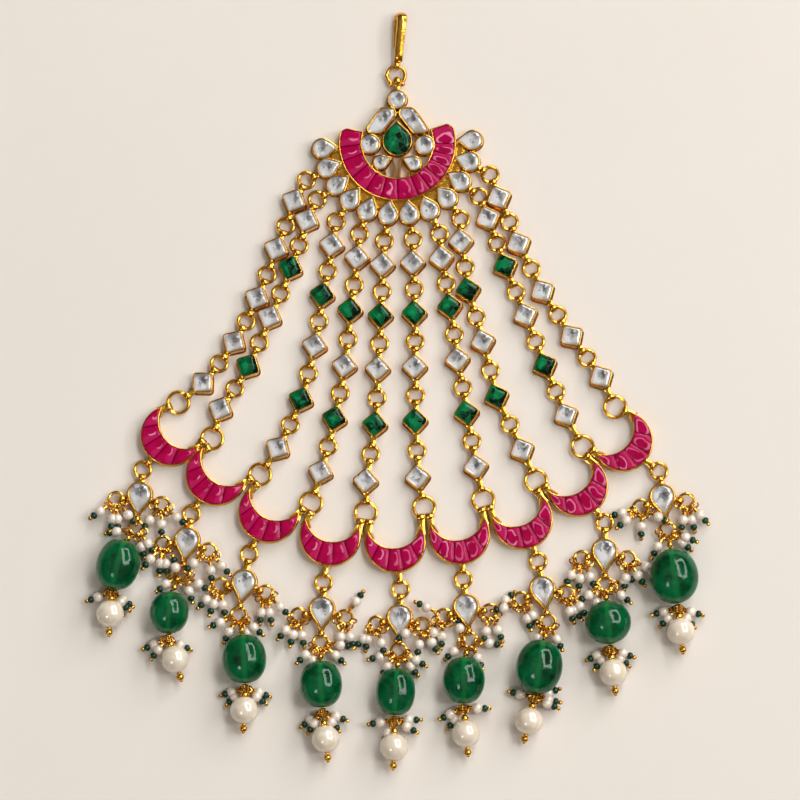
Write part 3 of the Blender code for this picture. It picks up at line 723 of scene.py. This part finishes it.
def green_bead_look():
    """Cloudy green glass with its paler drilled channel along the middle, painted light to the lower left
    and painted light towards its outline.
    """
    look = Look(
        "green_bead_glass", IOR=1.5, Specular_IOR_Level=0.36,
        Subsurface_Weight=0.25, Subsurface_Radius=(0.2, 1.0, 0.4), Subsurface_Scale=0.002,
    )
    place = look.place()
    x, y = look.chart()
    streak = look.noise(place, 0.28, 4.0, 0.6)
    speck = look.noise(place, 0.9, 3.0, 0.7)
    tone = look.mix(streak.step(0.3, 0.7), (0.0, 0.022, 0.006), (0.0, 0.1, 0.028))
    # Painted light: brighter green towards the lower left
    painted_glow = (x * -0.75 - y * 0.6 + (streak - 0.5) * 1.3).step(-0.15, 0.95)
    tone = look.mix(painted_glow * 0.75, tone, (0.0, 0.19, 0.058))
    x = x + (streak - 0.5) * 0.12
    channel = abs(x).step(0.17, 0.05) * (abs(y).step(0.3, 0.9) * 0.35 + 0.4)
    tone = look.mix(channel, tone, (0.008, 0.2, 0.05))
    # Painted light: lighter green towards the outline
    edge = (x * x + y * y).step(0.5, 1.0) * 0.6
    tone = look.mix(edge, tone, (0.001, 0.14, 0.045))
    flaw = speck.step(0.66, 0.74) * 0.5
    tone = look.mix(flaw, tone, (0.001, 0.02, 0.01))
    look.feed(Base_Color=tone, Roughness=0.03 + speck * 0.06, Normal=look.bump(streak, 0.15))
    return look.material


def pearl_look(name, warm):
    """A coated cream pearl, with painted shade that makes it darker and warmer round its rim."""
    look = Look(
        name, IOR=1.6, Coat_Weight=1.0, Coat_Roughness=0.05, Coat_IOR=1.9,
        Subsurface_Weight=0.1, Subsurface_Radius=(1.0, 0.7, 0.6), Subsurface_Scale=0.001,
    )
    place = look.place()
    cloud = look.noise(place, 0.6, 3.0)
    # Painted shade: darker and warmer round the rim, mixed into the colour below
    painted_rim_shade = look.node("ShaderNodeLayerWeight", {}, {"Blend": 0.35}, "Facing")
    tone = look.mix(cloud.step(0.35, 0.7), warm, (0.9, 0.8, 0.67))
    look.feed(
        Base_Color=look.mix(painted_rim_shade.step(0.25, 0.85) * 0.5, tone, (0.5, 0.33, 0.18)),
        Roughness=0.3 + cloud * 0.12,
        Normal=look.bump(look.noise(place, 1.6, 3.0), 0.03),
    )
    return look.material


def seed_look():
    look = Look("dark_seed_glass", IOR=1.42, Roughness=0.08, Coat_Weight=0.15, Coat_Roughness=0.03)
    place = look.place()
    cloud = look.noise(place, 0.8, 2.0)
    look.feed(Base_Color=look.mix(cloud.step(0.35, 0.7), (0.0, 0.02, 0.006), (0.0, 0.05, 0.018)))
    return look.material


def floor_look():
    look = Look("pale_ground", Roughness=0.75)
    place = look.place()
    cloud = look.noise(place, 0.012, 2.0)
    grain = look.noise(place, 1.5, 4.0, 0.7)
    tone = look.mix(cloud, (0.80, 0.738, 0.672), (0.83, 0.771, 0.708))
    look.feed(Base_Color=tone, Normal=look.bump(grain, 0.03))
    return look.material


def finished(name, shapes, look):
    """An object in the scene, scaled to metres."""
    mesh = bpy.data.meshes.new(name)
    shapes.to_mesh(mesh)
    shapes.free()
    mesh.transform(Matrix.Scale(0.001, 4))
    mesh.materials.append(look)
    made = bpy.data.objects.new(name, mesh)
    bpy.context.scene.collection.objects.link(made)
    return made


def piece(name, shapes, look, replaced=()):
    """A finished piece of the ornament, and the solids that it stands for."""
    bmesh.ops.recalc_face_normals(shapes, faces=shapes.faces)
    made = finished(name, shapes, look)
    made.data.shade_smooth()
    made.data.set_sharp_from_angle(angle=math.radians(CREASE))
    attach(made, "root")
    if replaced:
        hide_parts(*replaced)


# Pieces


def build_hook(gold):
    """The bent strip with its collar and neck, closed round the top ring."""
    strip = (
        (0.1, 19.9, 1.35, 1.3), (0.15, 20.4, 1.45, 1.35), (0.2, 20.8, 1.6, 1.5), (0.25, 20.9, 1.7, 2.1),
        (0.28, 21.3, 1.85, 2.25), (0.6, 25.5, 2.5, 2.3), (0.95, 28.5, 3.0, 2.45), (1.15, 30.6, 3.2, 2.55),
        (1.15, 31.8, 2.85, 2.7), (1.0, 32.3, 1.95, 2.9), (0.65, 31.9, 0.95, 2.9), (0.2, 30.6, 0.6, 2.2),
        (-0.1, 27.5, 0.55, 1.9), (-0.1, 24.6, 0.7, 1.8),
    )
    line = []
    for spot in smooth_line(strip):
        thickness = 1.55 if spot[2] > 1.75 and spot[1] > 21.0 else 0.95
        line.append((Vector(spot[:3]), spot[3], thickness))
    shapes = bmesh.new()
    add_sweep(shapes, line, Vector((1.0, 0.0, 0.0)), ROUND_SECTION)
    ring = at(TOP_RING_PLACE)
    add_bail(shapes, at((0.05, 20.6)), ring + at((0.1, TOP_RING[0])), TOP_RING[1], 1.5, 1.3)
    piece("hook_strip", shapes, gold, ["hook"])


def build_top_ring(gold):
    """The jump ring between hook and medallion, with the bead of solder on its joint."""
    shapes = bmesh.new()
    centre = at(TOP_RING_PLACE, RING_LEVEL)
    add_copy(shapes, pattern(ring_shape, *TOP_RING, 40, 12), Matrix.Translation(centre))
    ball_shape(shapes, 0.6, 12, 8, 0.8, centre + at((-TOP_RING[0] - 0.2, -0.1)))
    piece("top_jump_ring", shapes, gold, ["top_ring"])


def inlay(shapes, spot, lines, lengths, rows, top, seat):
    """A bent grid of enamel with a pillow between each two dividing lines."""
    local = (0.0, 0.025, 0.06, 0.13, 0.28, 0.5, 0.72, 0.87, 0.94, 0.975, 1.0)
    ends = [0.0, *lines, 1.0]
    columns, gaps = [], []
    for k, (a, b) in enumerate(zip(ends, ends[1:])):
        for share in local[(1 if k else 0):]:
            columns.append(a + (b - a) * share)
            gaps.append(min(share, 1 - share) * (b - a) * lengths)
    nx, ny = len(columns) - 1, len(rows) - 1
    first_face = len(shapes.faces)
    first_vert = len(shapes.verts)
    bmesh.ops.create_grid(shapes, x_segments=nx, y_segments=ny, size=1.0)
    shapes.verts.ensure_lookup_table()
    shapes.faces.ensure_lookup_table()
    chart = chart_of(shapes)
    faces = shapes.faces[first_face:]
    facts = {}
    for vert in shapes.verts[first_vert:]:
        i, j = round((vert.co.x + 1) / 2 * nx), round((vert.co.y + 1) / 2 * ny)
        near, far = spot(columns[i], True), spot(columns[i], False)
        edge = min(rows[j], 1 - rows[j]) * (far - near).length
        dip = 0.2 * (1 - min(1.0, edge / 0.5)) ** 2 + 0.26 * (1 - min(1.0, gaps[i] / 0.55)) ** 2
        vert.co = near.lerp(far, rows[j])
        vert.co.z = top - dip
        facts[vert] = (columns[i], rows[j])
    for face in faces:
        middle = sum(facts[vert][0] for vert in face.verts) / len(face.verts)
        cell = sum(line < middle for line in lines)
        for loop in face.loops:
            share, row = facts[loop.vert]
            local = (share - ends[cell]) / (ends[cell + 1] - ends[cell])
            loop[chart].uv = (cell + min(max(local, 0.002), 0.998), row)
    drawn = bmesh.ops.extrude_face_region(shapes, geom=list(faces))["geom"]
    for item in drawn:
        if isinstance(item, bmesh.types.BMVert):
            item.co.z = seat


ROWS = (0.0, 0.03, 0.08, 0.16, 0.3, 0.5, 0.7, 0.84, 0.92, 0.97, 1.0)


def build_medallion(looks):
    """The channel with its inlay, the settings and stones round it, and the gold that joins them."""
    gold = bmesh.new()
    clear, green, border = bmesh.new(), bmesh.new(), bmesh.new()
    add_setting(gold, channel_outline, MEDALLION_TOP, 0.36, 0.5, 0.1)

    for x, y, radius in (TOP_ROUND, *SIDE_ROUNDS):
        centre = at((x, y))
        set_stone(gold, clear, circle(centre, radius), MEDALLION_TOP, centre, radius, dome(radius))
    for place, radius, reach, towards in SMALL_PEARS:
        centre = at(place)
        outline = pear(centre, radius, reach, towards)
        set_stone(gold, clear, outline, MEDALLION_TOP - 0.1, centre, radius, dome(radius, 0.26), 0.3)
    for side in (1.0, -1.0):
        corners = [at((x * side, y)) for x, y in SHOULDER]
        corners = corners if side > 0 else corners[::-1]
        centre = sum(corners, Vector()) / len(corners)
        set_stone(gold, clear, rounded(corners, 1.3), MEDALLION_TOP, centre, 3.0, dome(2.2, 0.38), 0.4)
    place, radius, reach, towards = GREEN_PEAR
    outline = pear(at(place), radius, reach, towards, 32)
    set_stone(gold, green, outline, MEDALLION_TOP, at(place), radius, dome(radius, 0.3, 0.6))

    radius, reach = BORDER_PEAR
    for turn, rise in zip(BORDER_BEARINGS, BORDER_RISE):
        centre = heading(turn) * BORDER_SEAT + at((0.0, rise))
        outline = pear(centre, radius, reach, turn + 180)
        set_stone(gold, border, outline, PEAR_TOP, centre, radius, dome(radius), 0.32)

    add_gallery(gold)
    add_medallion_bails(gold)
    piece("medallion_settings", gold, looks["gold"], ["medallion_frame"])
    piece(
        "medallion_clear_stones", clear, looks["clear"],
        [
            "stone_top_round", "stone_shoulder_left", "stone_shoulder_right", "stone_round_left",
            "stone_round_right", "stone_small_pear_left", "stone_small_pear_right",
        ],
    )
    piece("medallion_green_pear", green, looks["green"], ["stone_green_pear"])
    piece("border_pear_stones", border, looks["clear"])

    start, end = OUTER_ENDS
    lines = [(turn - start) / (end - start) for turn in CHANNEL_LINES]
    enamel = bmesh.new()

    def spot(share, inner):
        return channel_spot(share, inner, 0.33)

    inlay(enamel, spot, lines, 43.0, ROWS, MEDALLION_TOP - 0.06, MEDALLION_TOP - 0.6)
    piece("medallion_inlay", enamel, looks["enamel"], ["medallion_enamel"])


def add_strip(shapes, start, end, height, thickness):
    """A thin bar on edge, a little slimmer at its middle."""
    middle = (start.lerp(end, 0.5), height - 0.1, thickness - 0.05)
    add_sweep(shapes, [(start, height, thickness), middle, (end, height, thickness)], UP)


def add_gallery(gold):
    """The gold strips under and between the stones."""
    level = UP * 0.9
    arc = [(heading(-176 + 4.5 * i) * 15.9 + level * 0.6, 0.6, 2.3) for i in range(41)]
    add_sweep(gold, arc, UP)
    for turn in BORDER_BEARINGS:
        for offset in (-2.6, 2.6):
            start, end = heading(turn + offset) * 14.2, heading(turn + offset * 0.8) * 17.4
            add_strip(gold, start + level, end + level, 1.0, 0.55)
    pairs = (
        ((8.9, -2.3), (5.4, -2.6)), ((5.9, -3.2), (4.7, -4.6)), ((2.9, -8.7), (3.4, -6.0)),
        ((2.6, -3.6), (3.6, -4.2)), ((4.6, 2.0), (6.0, 1.2)), ((6.6, -6.6), (5.5, -6.0)),
        ((0.6, 6.0), (0.9, 8.4)),
    )
    ties = [((-8.2, 1.5), (-8.9, 2.2)), ((8.2, 1.5), (8.9, 2.4))]
    for side in (-1.0, 1.0):
        ties += [((start[0] * side, start[1]), (end[0] * side, end[1])) for start, end in pairs]
    for start, end in ties:
        add_strip(gold, at(start, 1.1), at(end, 1.1), 1.2, 0.6)
    stem = ((1.5, -3.5), (1.15, -4.4), (0.75, -5.6), (0.6, -7.2), (0.62, -9.2))
    for side in (-1.0, 1.0):
        line = smooth_line([at((x * side, y), 1.6) for x, y in stem])
        add_sweep(gold, [(spot, 2.6, 0.42) for spot in line], UP)
    ball_shape(gold, 0.55, 10, 6, 1.0, (0.0, 7.6, 2.2))


def add_medallion_bails(gold):
    """The bail and solder balls at the top ring, and a bail from a border pear to each chain."""
    ring = at(TOP_RING_PLACE)
    low = ring + at((0.15, -TOP_RING[0]))
    add_bail(gold, at((0.0, 12.6)), low, TOP_RING[1], 1.7, 1.3)
    ball_shape(gold, 1.2, 18, 12, 1.0, (low.x + 0.1, low.y + 0.7, RING_LEVEL + 0.6))
    for side in (-32.0, 36.0):
        spot = ring + heading(-90 + side) * (TOP_RING[0] + 0.4)
        ball_shape(gold, 0.7, 12, 8, 1.0, at(spot, RING_LEVEL))
    for turn, route in zip(BORDER_BEARINGS[1:-1], CHAINS):
        first = at(route[0])
        seat = heading(turn) * BORDER_SEAT
        back = (seat - first).normalized()
        add_bail(gold, seat - back * (BORDER_PEAR[0] - 0.3), first + back * LINK[0], LINK[1])


def build_chains(looks):
    """Each chain's rings, bails and square settings, and all their stones."""
    link, end_ring = pattern(ring_shape, *LINK, 30, 10), pattern(ring_shape, *END_RING, 34, 10)
    white, green = bmesh.new(), bmesh.new()
    corner = SQUARE_SIDE / math.sqrt(2)
    for number, route in enumerate(CHAINS):
        gold = bmesh.new()
        spots = [at((x, y - 0.11 * i)) for i, (x, y) in enumerate(route)]
        squares = spots[1:-1]
        rings = [spots[0]] + [(a + b) / 2 for a, b in zip(squares, squares[1:])] + [spots[-1]]
        for i, ring in enumerate(rings):
            last = i == len(squares)
            radius, wire = END_RING if last else LINK
            add_copy(gold, end_ring if last else link, lying(ring + UP * RING_LEVEL, 3.0))
            if chance.random() < 0.22:
                spot = ring + heading(chance.uniform(0, 360)) * (radius + 0.15)
                ball_shape(gold, 0.42, 8, 6, 1.0, at(spot, RING_LEVEL))
            for square in squares[max(i - 1, 0) : i + 1]:
                back = (square - ring).normalized()
                add_bail(gold, square - back * (corner - 0.7), ring + back * radius, wire)
        for i, spot in enumerate(squares):
            along = bearing(rings[i + 1] - rings[i])
            spot = spot + at(SQUARE_SHIFT)
            corners = [spot + heading(along + 90 * k) * corner for k in range(4)]
            outline = rounded(corners, 0.9)
            add_setting(gold, outline, SQUARE_TOP, 0.27, 0.35, 0.22, (0.2, -0.5))
            is_green = i in GREEN_SQUARES and 0 < number < len(CHAINS) - 1
            seat = SQUARE_TOP - 0.33
            half = SQUARE_SIDE / 2
            if is_green:
                add_stone(green, outline, seat, spot, half, table_cut(half, 0.24, 0.75))
            else:
                add_stone(white, outline, seat, spot, half, dome(half, 0.24, 0.5))
        piece(f"chain_{number + 1:02d}_gold", gold, looks["gold"], [f"chain_{number + 1:02d}"])
    piece("chain_clear_stones", white, looks["clear"])
    piece("chain_green_stones", green, looks["green"])


def horn_eyes(number):
    """Where a crescent's two horns hold their rings: the place on the wire and the horn."""
    held = []
    for right in (False, True):
        ring = at(CHAINS[number + right][-1]) - at((0.0, 0.66))
        mine = Crescent(number).horn(right)
        towards = bearing(mine - ring)
        other = number + 1 if right else number - 1
        if 0 <= other < len(HORNS):
            theirs = Crescent(other).horn(not right)
            halfway = bearing((mine - ring).normalized() + (theirs - ring).normalized())
            towards = halfway + (-EYE_SPREAD if right else EYE_SPREAD)
        held.append((ring + heading(towards) * END_RING[0], mine))
    return held


# The swelling along each horn's inner side: share of its arc, width and height
HORN_CLASP = ((0.0, 0.7, 1.7), (0.05, 1.25, 2.3), (0.11, 1.35, 2.5), (0.18, 0.6, 2.1))


def build_crescents(looks):
    enamel = bmesh.new()
    for number in range(len(HORNS)):
        gold = bmesh.new()
        form = Crescent(number)
        add_setting(gold, form.outline(), CRESCENT_TOP, 0.3, 0.5, 0.14)
        for wire_spot, horn in horn_eyes(number):
            add_bail(gold, horn, wire_spot, END_RING[1], 2.1, 1.7)
        for right in (False, True):
            line = []
            for share, wide, tall in HORN_CLASP:
                spot = form.spot(1 - share if right else share, True, -0.25)
                line.append((spot + UP * 1.25, wide, tall))
            add_sweep(gold, line, form.across, ROUND_SECTION)
        ring = at(DROPS[number][0])
        centre = form.middle + form.down * OUTER_DROP
        back = (centre - ring).normalized()
        add_bail(gold, centre - back * (OUTER_RADIUS - 0.4), ring + back * LINK[0], LINK[1], 1.6, 1.4)
        piece(f"crescent_{number + 1}_gold", gold, looks["gold"], [f"crescent_{number + 1}"])

        def spot(share, inner, form=form):
            return form.spot(share, inner, 0.28)

        inlay(enamel, spot, CRESCENT_LINES, 15.5, ROWS, CRESCENT_TOP - 0.05, CRESCENT_TOP - 0.6)
    bmesh.ops.remove_doubles(enamel, verts=enamel.verts, dist=0.002)
    piece("crescent_inlays", enamel, looks["enamel"])


# Dangles: for each drop the bearings at the left ring, the right ring, the tip ring and under the bead;
# a pair gives the place on the ring and the dangle's own bearing
DANGLES = (
    ((219, 262, 275, -52), (232, 270, -45), (195, -50, -75), (207, -28, -40, -62)),
    ((225, 262, 275), (215, -82, -48), (212, -66, -37, (-120, 100)), (200, 232, -60, -20)),
    ((229, 254, -85), (253, -76, -41), (205, 240, -62, -40), (221, 200, -45, -13)),
    ((227, 252, -81), (57, 255, -79), (216, 245, -40, -5), (209, 238, -45, -12)),
    (
        ((204, 265), (240, 230), 280), ((190, 215), -100, -67),
        (200, (235, 244), (-60, -48), -25), (192, 245, -3, -28),
    ),
    (
        ((150, 149), (215, 250), 262), ((30, 42), -97, (-62, -70)),
        (213, (180, 100), -66, -6), (207, 229, -3, 5),
    ),
    (
        ((225, 188), (-70, -65), (-40, -65)), ((-30, -62), (-95, -75), (-80, -50)),
        (235, -65), (165, -5, -30, 12),
    ),
    ((233, 265, -66), (268, -60, -27), (217, 250, -31, 10), (205, 235, -20, -45)),
    ((196, 225, 275, -30), (263, -70, -46), (242, -46, -28), (223, 195, -50, -16)),
)


# How far along a dangle its pearl and its end ball sit
DANGLE_PEARL = 3.05
DANGLE_BALL = 6.12


def dangle_gold(shapes):
    """Eye, wraps, pin and end ball of a dangle that hangs along X."""
    add_copy(shapes, pattern(ring_shape, 0.74, 0.44, 14, 6), Matrix.Translation((0.15, 0.0, 0.0)))
    wrap = pattern(ring_shape, 0.38, 0.38, 9, 5)
    for along in (1.05, 1.35, 1.65):
        add_copy(shapes, wrap, Matrix.Translation((along, 0.0, 0.0)) @ ALONG_X)
    pin = Matrix.Translation((3.7, 0.0, 0.0)) @ ALONG_X
    bmesh.ops.create_cone(
        shapes, cap_ends=True, segments=6, radius1=0.16, radius2=0.16, depth=5.0, matrix=pin,
    )
    ball_shape(shapes, 0.6, 10, 7, 1.0, (DANGLE_BALL, 0.0, 0.0))


def build_dangles(looks):
    """The wire loops and small dangles at each drop's rings and under its bead."""
    gold_form = pattern(dangle_gold)
    pearl_form = pattern(ball_shape, 1.32, 14, 10, 1.0, (DANGLE_PEARL, 0.0, 0.0))
    seed_form = pattern(ball_shape, 0.95, 12, 8, 0.84, (4.98, 0.0, 0.0))
    ring_form = pattern(ring_shape, *SIDE_RING, 26, 8)
    loop_form = pattern(ring_shape, 0.88, 0.46, 14, 6)
    gold, pearls, seeds = bmesh.new(), bmesh.new(), bmesh.new()
    for number in range(len(DROPS)):
        parts = drop_parts(number)
        for k, hold in enumerate(parts["rings"]):
            if k < 3:
                add_copy(gold, ring_form, lying(hold + UP * 1.6, 14.0))
            reach = SIDE_RING[0] if k < 3 else 0.5
            for turn in range(200, 341, 35):
                spot = hold + heading(turn + chance.uniform(-12, 12)) * (reach + 0.35)
                spot.z = 1.7 + chance.uniform(0.0, 1.3) if k < 3 else chance.uniform(2.0, 4.5)
                add_copy(gold, loop_form, lying(spot, 65.0))
            for entry in DANGLES[number][k]:
                seat, turn = entry if isinstance(entry, tuple) else (entry, entry)
                dip = math.radians(chance.uniform(1, 13))
                clear = max(1.5 + DANGLE_PEARL * math.sin(dip), 0.75 + DANGLE_BALL * math.sin(dip))
                level = clear + chance.uniform(0.0, 1.4)
                start = hold + heading(seat) * reach + UP * level
                spin = Matrix.Rotation(math.radians(turn + chance.uniform(-8, 8)), 4, "Z")
                place = Matrix.Translation(start) @ spin @ Matrix.Rotation(dip, 4, "Y")
                place = place @ Matrix.Rotation(chance.uniform(0, math.pi), 4, "X")
                for shapes, form in ((gold, gold_form), (pearls, pearl_form), (seeds, seed_form)):
                    add_copy(shapes, form, place)
    piece("dangle_wires", gold, looks["gold"])
    piece("dangle_pearls", pearls, looks["small_pearl"])
    piece("dangle_seeds", seeds, looks["seed"])


def drop_parts(number):
    """The drop's places: ring, pear circle, tip, the held rings, bead and pearl, and the bead's axis."""
    ring, middle, bead, pearl = map(at, DROPS[number][:4])
    down = (middle - ring).normalized()
    side = Vector((down.y, -down.x, 0.0))
    radius, reach = DROP_PEAR
    centre = middle - down * ((reach - radius) / 2 - 1.15)
    tip = centre + down * reach
    width, length = DROPS[number][4]
    right, raised, wide, long = BEAD_FIT[number]
    bead += at((bead.x * 0.012 + right, raised - BEAD_DROP))
    pearl += at((pearl.x * 0.001, -PEARL_DROP))
    up = (tip - pearl).normalized()
    low = bead - up * (length / 2 + 0.9)
    rings = [
        centre + down * 2.0 + side * 5.75, centre + down * 2.0 - side * 5.75, tip + down * 2.85, low,
    ]
    return {
        "ring": ring, "centre": centre, "tip": tip, "down": down, "side": side, "rings": rings,
        "bead": bead, "pearl": pearl, "up": up,
        "width": width * wide, "length": length * long, "depth": width,
    }


def build_drops(looks):
    """The ring, pear setting, side bails and pin of each drop, and all the pear stones."""
    link = pattern(ring_shape, *LINK, 30, 10)
    stones = bmesh.new()
    radius, reach = DROP_PEAR
    for number in range(len(DROPS)):
        parts = drop_parts(number)
        gold = bmesh.new()
        centre, down, tip = parts["centre"], parts["down"], parts["tip"]
        add_copy(gold, link, lying(parts["ring"] + UP * RING_LEVEL, 3.0))
        outline = pear(centre, radius, reach, bearing(down), 32)
        set_stone(gold, stones, outline, PEAR_TOP, centre, radius, dome(radius, 0.42, 0.55), 0.44)
        add_bail(gold, centre - down * (radius - 0.4), parts["ring"] + down * LINK[0], LINK[1], 1.85, 1.5)
        left, right, low, _ = parts["rings"]
        for hold in (left, right):
            away = (hold - (centre + down * 0.6)).normalized()
            start = centre + down * 0.6 + away * 2.5
            add_bail(gold, start, hold - away * SIDE_RING[0], SIDE_RING[1], 1.7, 1.2)
            knob = hold - away * (SIDE_RING[0] - 0.35)
            ball_shape(gold, 1.05, 16, 12, 1.0, at(knob, RING_LEVEL + 0.8))
        add_bail(gold, tip - down * 0.5, low - down * SIDE_RING[0], SIDE_RING[1], 1.3, 1.3)
        neck = tip + down * 0.7
        ball_shape(gold, 0.95, 16, 12, 1.0, at(neck, RING_LEVEL + 0.75))
        bead_top = parts["bead"] + parts["up"] * (parts["length"] / 2 + 0.1) + UP * parts["depth"] / 2
        start = low + down * (SIDE_RING[0] - 0.2) + UP * 2.0
        add_sweep(
            gold, [(start, 0.7, 0.7), (start.lerp(bead_top, 0.5), 0.7, 0.7), (bead_top, 0.7, 0.7)],
            parts["side"], ROUND_SECTION,
        )
        knot = start.lerp(bead_top, 0.7)
        ball_shape(gold, 0.85, 12, 9, 1.0, knot)
        piece(f"drop_{number + 1}_gold", gold, looks["gold"], [f"pendant_{number + 1}"])
    piece("drop_pear_stones", stones, looks["clear"])


def turned_place(centre, up):
    """A frame at centre whose Z runs up the bead and whose X lies level."""
    side = Vector((up.y, -up.x, 0.0)).normalized()
    other = up.cross(side).normalized()
    turn = Matrix((side, other, up)).transposed().to_4x4()
    return Matrix.Translation(centre) @ turn


def bead_shape(shapes, width, length, depth, rounding):
    """A long bead with softly flattened ends, with its flat coordinates as its UV map."""
    steps = 26
    spots = []
    for i in range(steps + 1):
        turn = math.pi * i / steps
        spots.append((max(0.0, math.sin(turn)) ** rounding * width / 2, -math.cos(turn) * length / 2))
    line = [shapes.verts.new((across, 0.0, along)) for across, along in spots]
    edges = [shapes.edges.new(pair) for pair in zip(line, line[1:])]
    bmesh.ops.spin(
        shapes, geom=line + edges, cent=(0.0, 0.0, 0.0), axis=(0.0, 0.0, 1.0),
        angle=2 * math.pi, steps=44, use_merge=True,
    )
    bmesh.ops.remove_doubles(shapes, verts=shapes.verts, dist=0.001)
    chart = chart_of(shapes)
    for face in shapes.faces:
        for loop in face.loops:
            loop[chart].uv = (loop.vert.co.x / width * 2, loop.vert.co.z / length * 2)
    bmesh.ops.scale(shapes, verts=shapes.verts, vec=(1.0, depth / width, 1.0))


def build_beads(looks):
    """Each drop's green bead, its pearl, and the gold between and under them."""
    for number in range(len(DROPS)):
        parts = drop_parts(number)
        width, length, depth, up = (parts[key] for key in ("width", "length", "depth", "up"))
        shapes = bmesh.new()
        centre = parts["bead"] + UP * depth / 2
        form = pattern(bead_shape, width, length, depth, BEAD_ROUNDING[number])
        add_copy(shapes, form, turned_place(centre, up))
        name = f"green_bead_{number + 1}"
        piece(name + "_glass", shapes, looks["bead"], [name])

        bead_end = centre - up * (length / 2)
        heart = parts["pearl"] + UP * PEARL_RADIUS
        axis = (bead_end - heart).normalized()
        shapes = bmesh.new()
        ball_shape(shapes, PEARL_RADIUS, 40, 28, 1.0, heart)
        piece(f"pearl_{number + 1}_round", shapes, looks["pearl"], [f"pearl_{number + 1}"])
        gold = bmesh.new()
        pin = ((bead_end - axis * 0.1, 0.7), (bead_end.lerp(heart, 0.5), 0.6), (heart + axis * 3.2, 0.6))
        add_sweep(gold, [(spot, wire, wire) for spot, wire in pin], Vector((1.0, 0.0, 0.0)), ROUND_SECTION)
        ball_shape(gold, 1.0, 14, 10, 1.0, heart + axis * (PEARL_RADIUS + 0.25))
        for past, size in ((0.25, 0.62), (1.25, 0.98), (2.15, 0.42)):
            ball_shape(gold, size, 14, 10, 1.0, heart - axis * (PEARL_RADIUS + past))
        for k in range(4):
            coil = turned_place(bead_end - axis * (0.5 + 0.45 * k), axis)
            add_copy(gold, pattern(ring_shape, 0.75, 0.4, 16, 6), coil)
        piece(f"pearl_{number + 1}_fittings", gold, looks["gold"])


def build_floor():
    """The plain pale ground, a hair below the ornament."""
    shapes = bmesh.new()
    bmesh.ops.create_grid(shapes, x_segments=1, y_segments=1, size=900.0)
    bmesh.ops.translate(shapes, verts=shapes.verts, vec=at(FAN_MIDDLE, -0.02))
    finished("ground", shapes, floor_look())


# Watts of the key light for each square metre
KEY_POWER = 25.0


def add_light(name, towards, distance, size, power, colour, aside=(0.0, 0.0)):
    """A soft light in a direction from the ornament's middle, facing it, moved aside in its own plane."""
    middle = at(FAN_MIDDLE)
    direction = Vector(towards).normalized()
    lamp = bpy.data.lights.new(name, "AREA")
    lamp.shape = "RECTANGLE"
    lamp.size, lamp.size_y = size
    lamp.energy = power
    lamp.color = colour
    upright = (Vector((0.0, 1.0, 0.0)) - direction * direction.y).normalized()
    turn = Matrix((upright.cross(direction), upright, direction)).transposed().to_4x4()
    made = bpy.data.objects.new(name, lamp)
    place = Matrix.Translation((middle + direction * distance) * 0.001) @ turn
    made.matrix_world = place @ Matrix.Translation((aside[0], aside[1], 0.0))
    bpy.context.scene.collection.objects.link(made)


def build_studio():
    """A tall key light drawn as a frame, whose outline shows in the beads, a small fill and a soft sky."""
    white = (1.0, 0.995, 0.99)
    for name, size, aside in (
        ("key_left", (0.34, 2.1), (-0.5, 0.0)), ("key_right", (0.26, 2.1), (0.5, 0.0)),
        ("key_top", (0.7, 0.35), (0.0, 0.87)), ("key_foot", (0.7, 0.35), (0.0, -0.87)),
    ):
        add_light(name, (0.56, 0.42, 0.7), 1700.0, size, KEY_POWER * size[0] * size[1], white, aside)
    add_light("low_softbox", (-0.42, -0.5, 0.75), 1300.0, (0.26, 0.26), 1.7, (1.0, 0.99, 0.975))
    world = bpy.data.worlds.new("studio")
    world.use_nodes = True
    nodes, links = world.node_tree.nodes, world.node_tree.links
    spot = nodes.new("ShaderNodeTexCoord")
    parts = nodes.new("ShaderNodeSeparateXYZ")
    ramp = nodes.new("ShaderNodeValToRGB")
    links.new(spot.outputs["Generated"], parts.inputs[0])
    links.new(parts.outputs["Z"], ramp.inputs[0])
    links.new(ramp.outputs[0], nodes["Background"].inputs["Color"])
    steps = ((0.0, 0.05), (0.3, 0.12), (0.52, 0.2), (0.7, 0.27), (0.86, 0.4), (0.94, 0.6), (1.0, 0.62))
    while len(ramp.color_ramp.elements) < len(steps):
        ramp.color_ramp.elements.new(0.5)
    for element, (place, bright) in zip(ramp.color_ramp.elements, steps):
        element.position = place
        element.color = (bright, bright * 0.93, bright * 0.83, 1.0)
    nodes["Background"].inputs["Strength"].default_value = 0.62
    bpy.context.scene.world = world
    bpy.context.scene.view_settings.view_transform = "Standard"


def build_camera():
    """The photograph's view: from far above, leaning a little to the drops' side."""
    lean, distance, across = math.radians(5.0), 2000.0, 200.4
    view = bpy.data.cameras.new("photo_view")
    view.sensor_width = 36.0
    view.lens = 36.0 * distance / across
    view.clip_start = 0.01
    made = bpy.data.objects.new("photo_view", view)
    back = Vector((0.0, -math.sin(lean), math.cos(lean)))
    made.location = (Vector((0.674, -64.95, 3.0)) + back * distance) * 0.001
    made.rotation_euler = (lean, 0.0, 0.0)
    bpy.context.scene.collection.objects.link(made)
    bpy.context.scene.camera = made


def main():
    build_camera()
    build_studio()
    build_floor()
    looks = {
        "gold": gold_look(), "enamel": enamel_look(), "clear": clear_stone_look(),
        "green": green_stone_look(), "bead": green_bead_look(),
        "pearl": pearl_look("cream_pearl", (0.82, 0.69, 0.52)),
        "small_pearl": pearl_look("small_cream_pearl", (0.8, 0.68, 0.57)), "seed": seed_look(),
    }
    build_hook(looks["gold"])
    build_top_ring(looks["gold"])
    build_medallion(looks)
    build_chains(looks)
    build_crescents(looks)
    build_drops(looks)
    build_beads(looks)
    build_dangles(looks)


main()
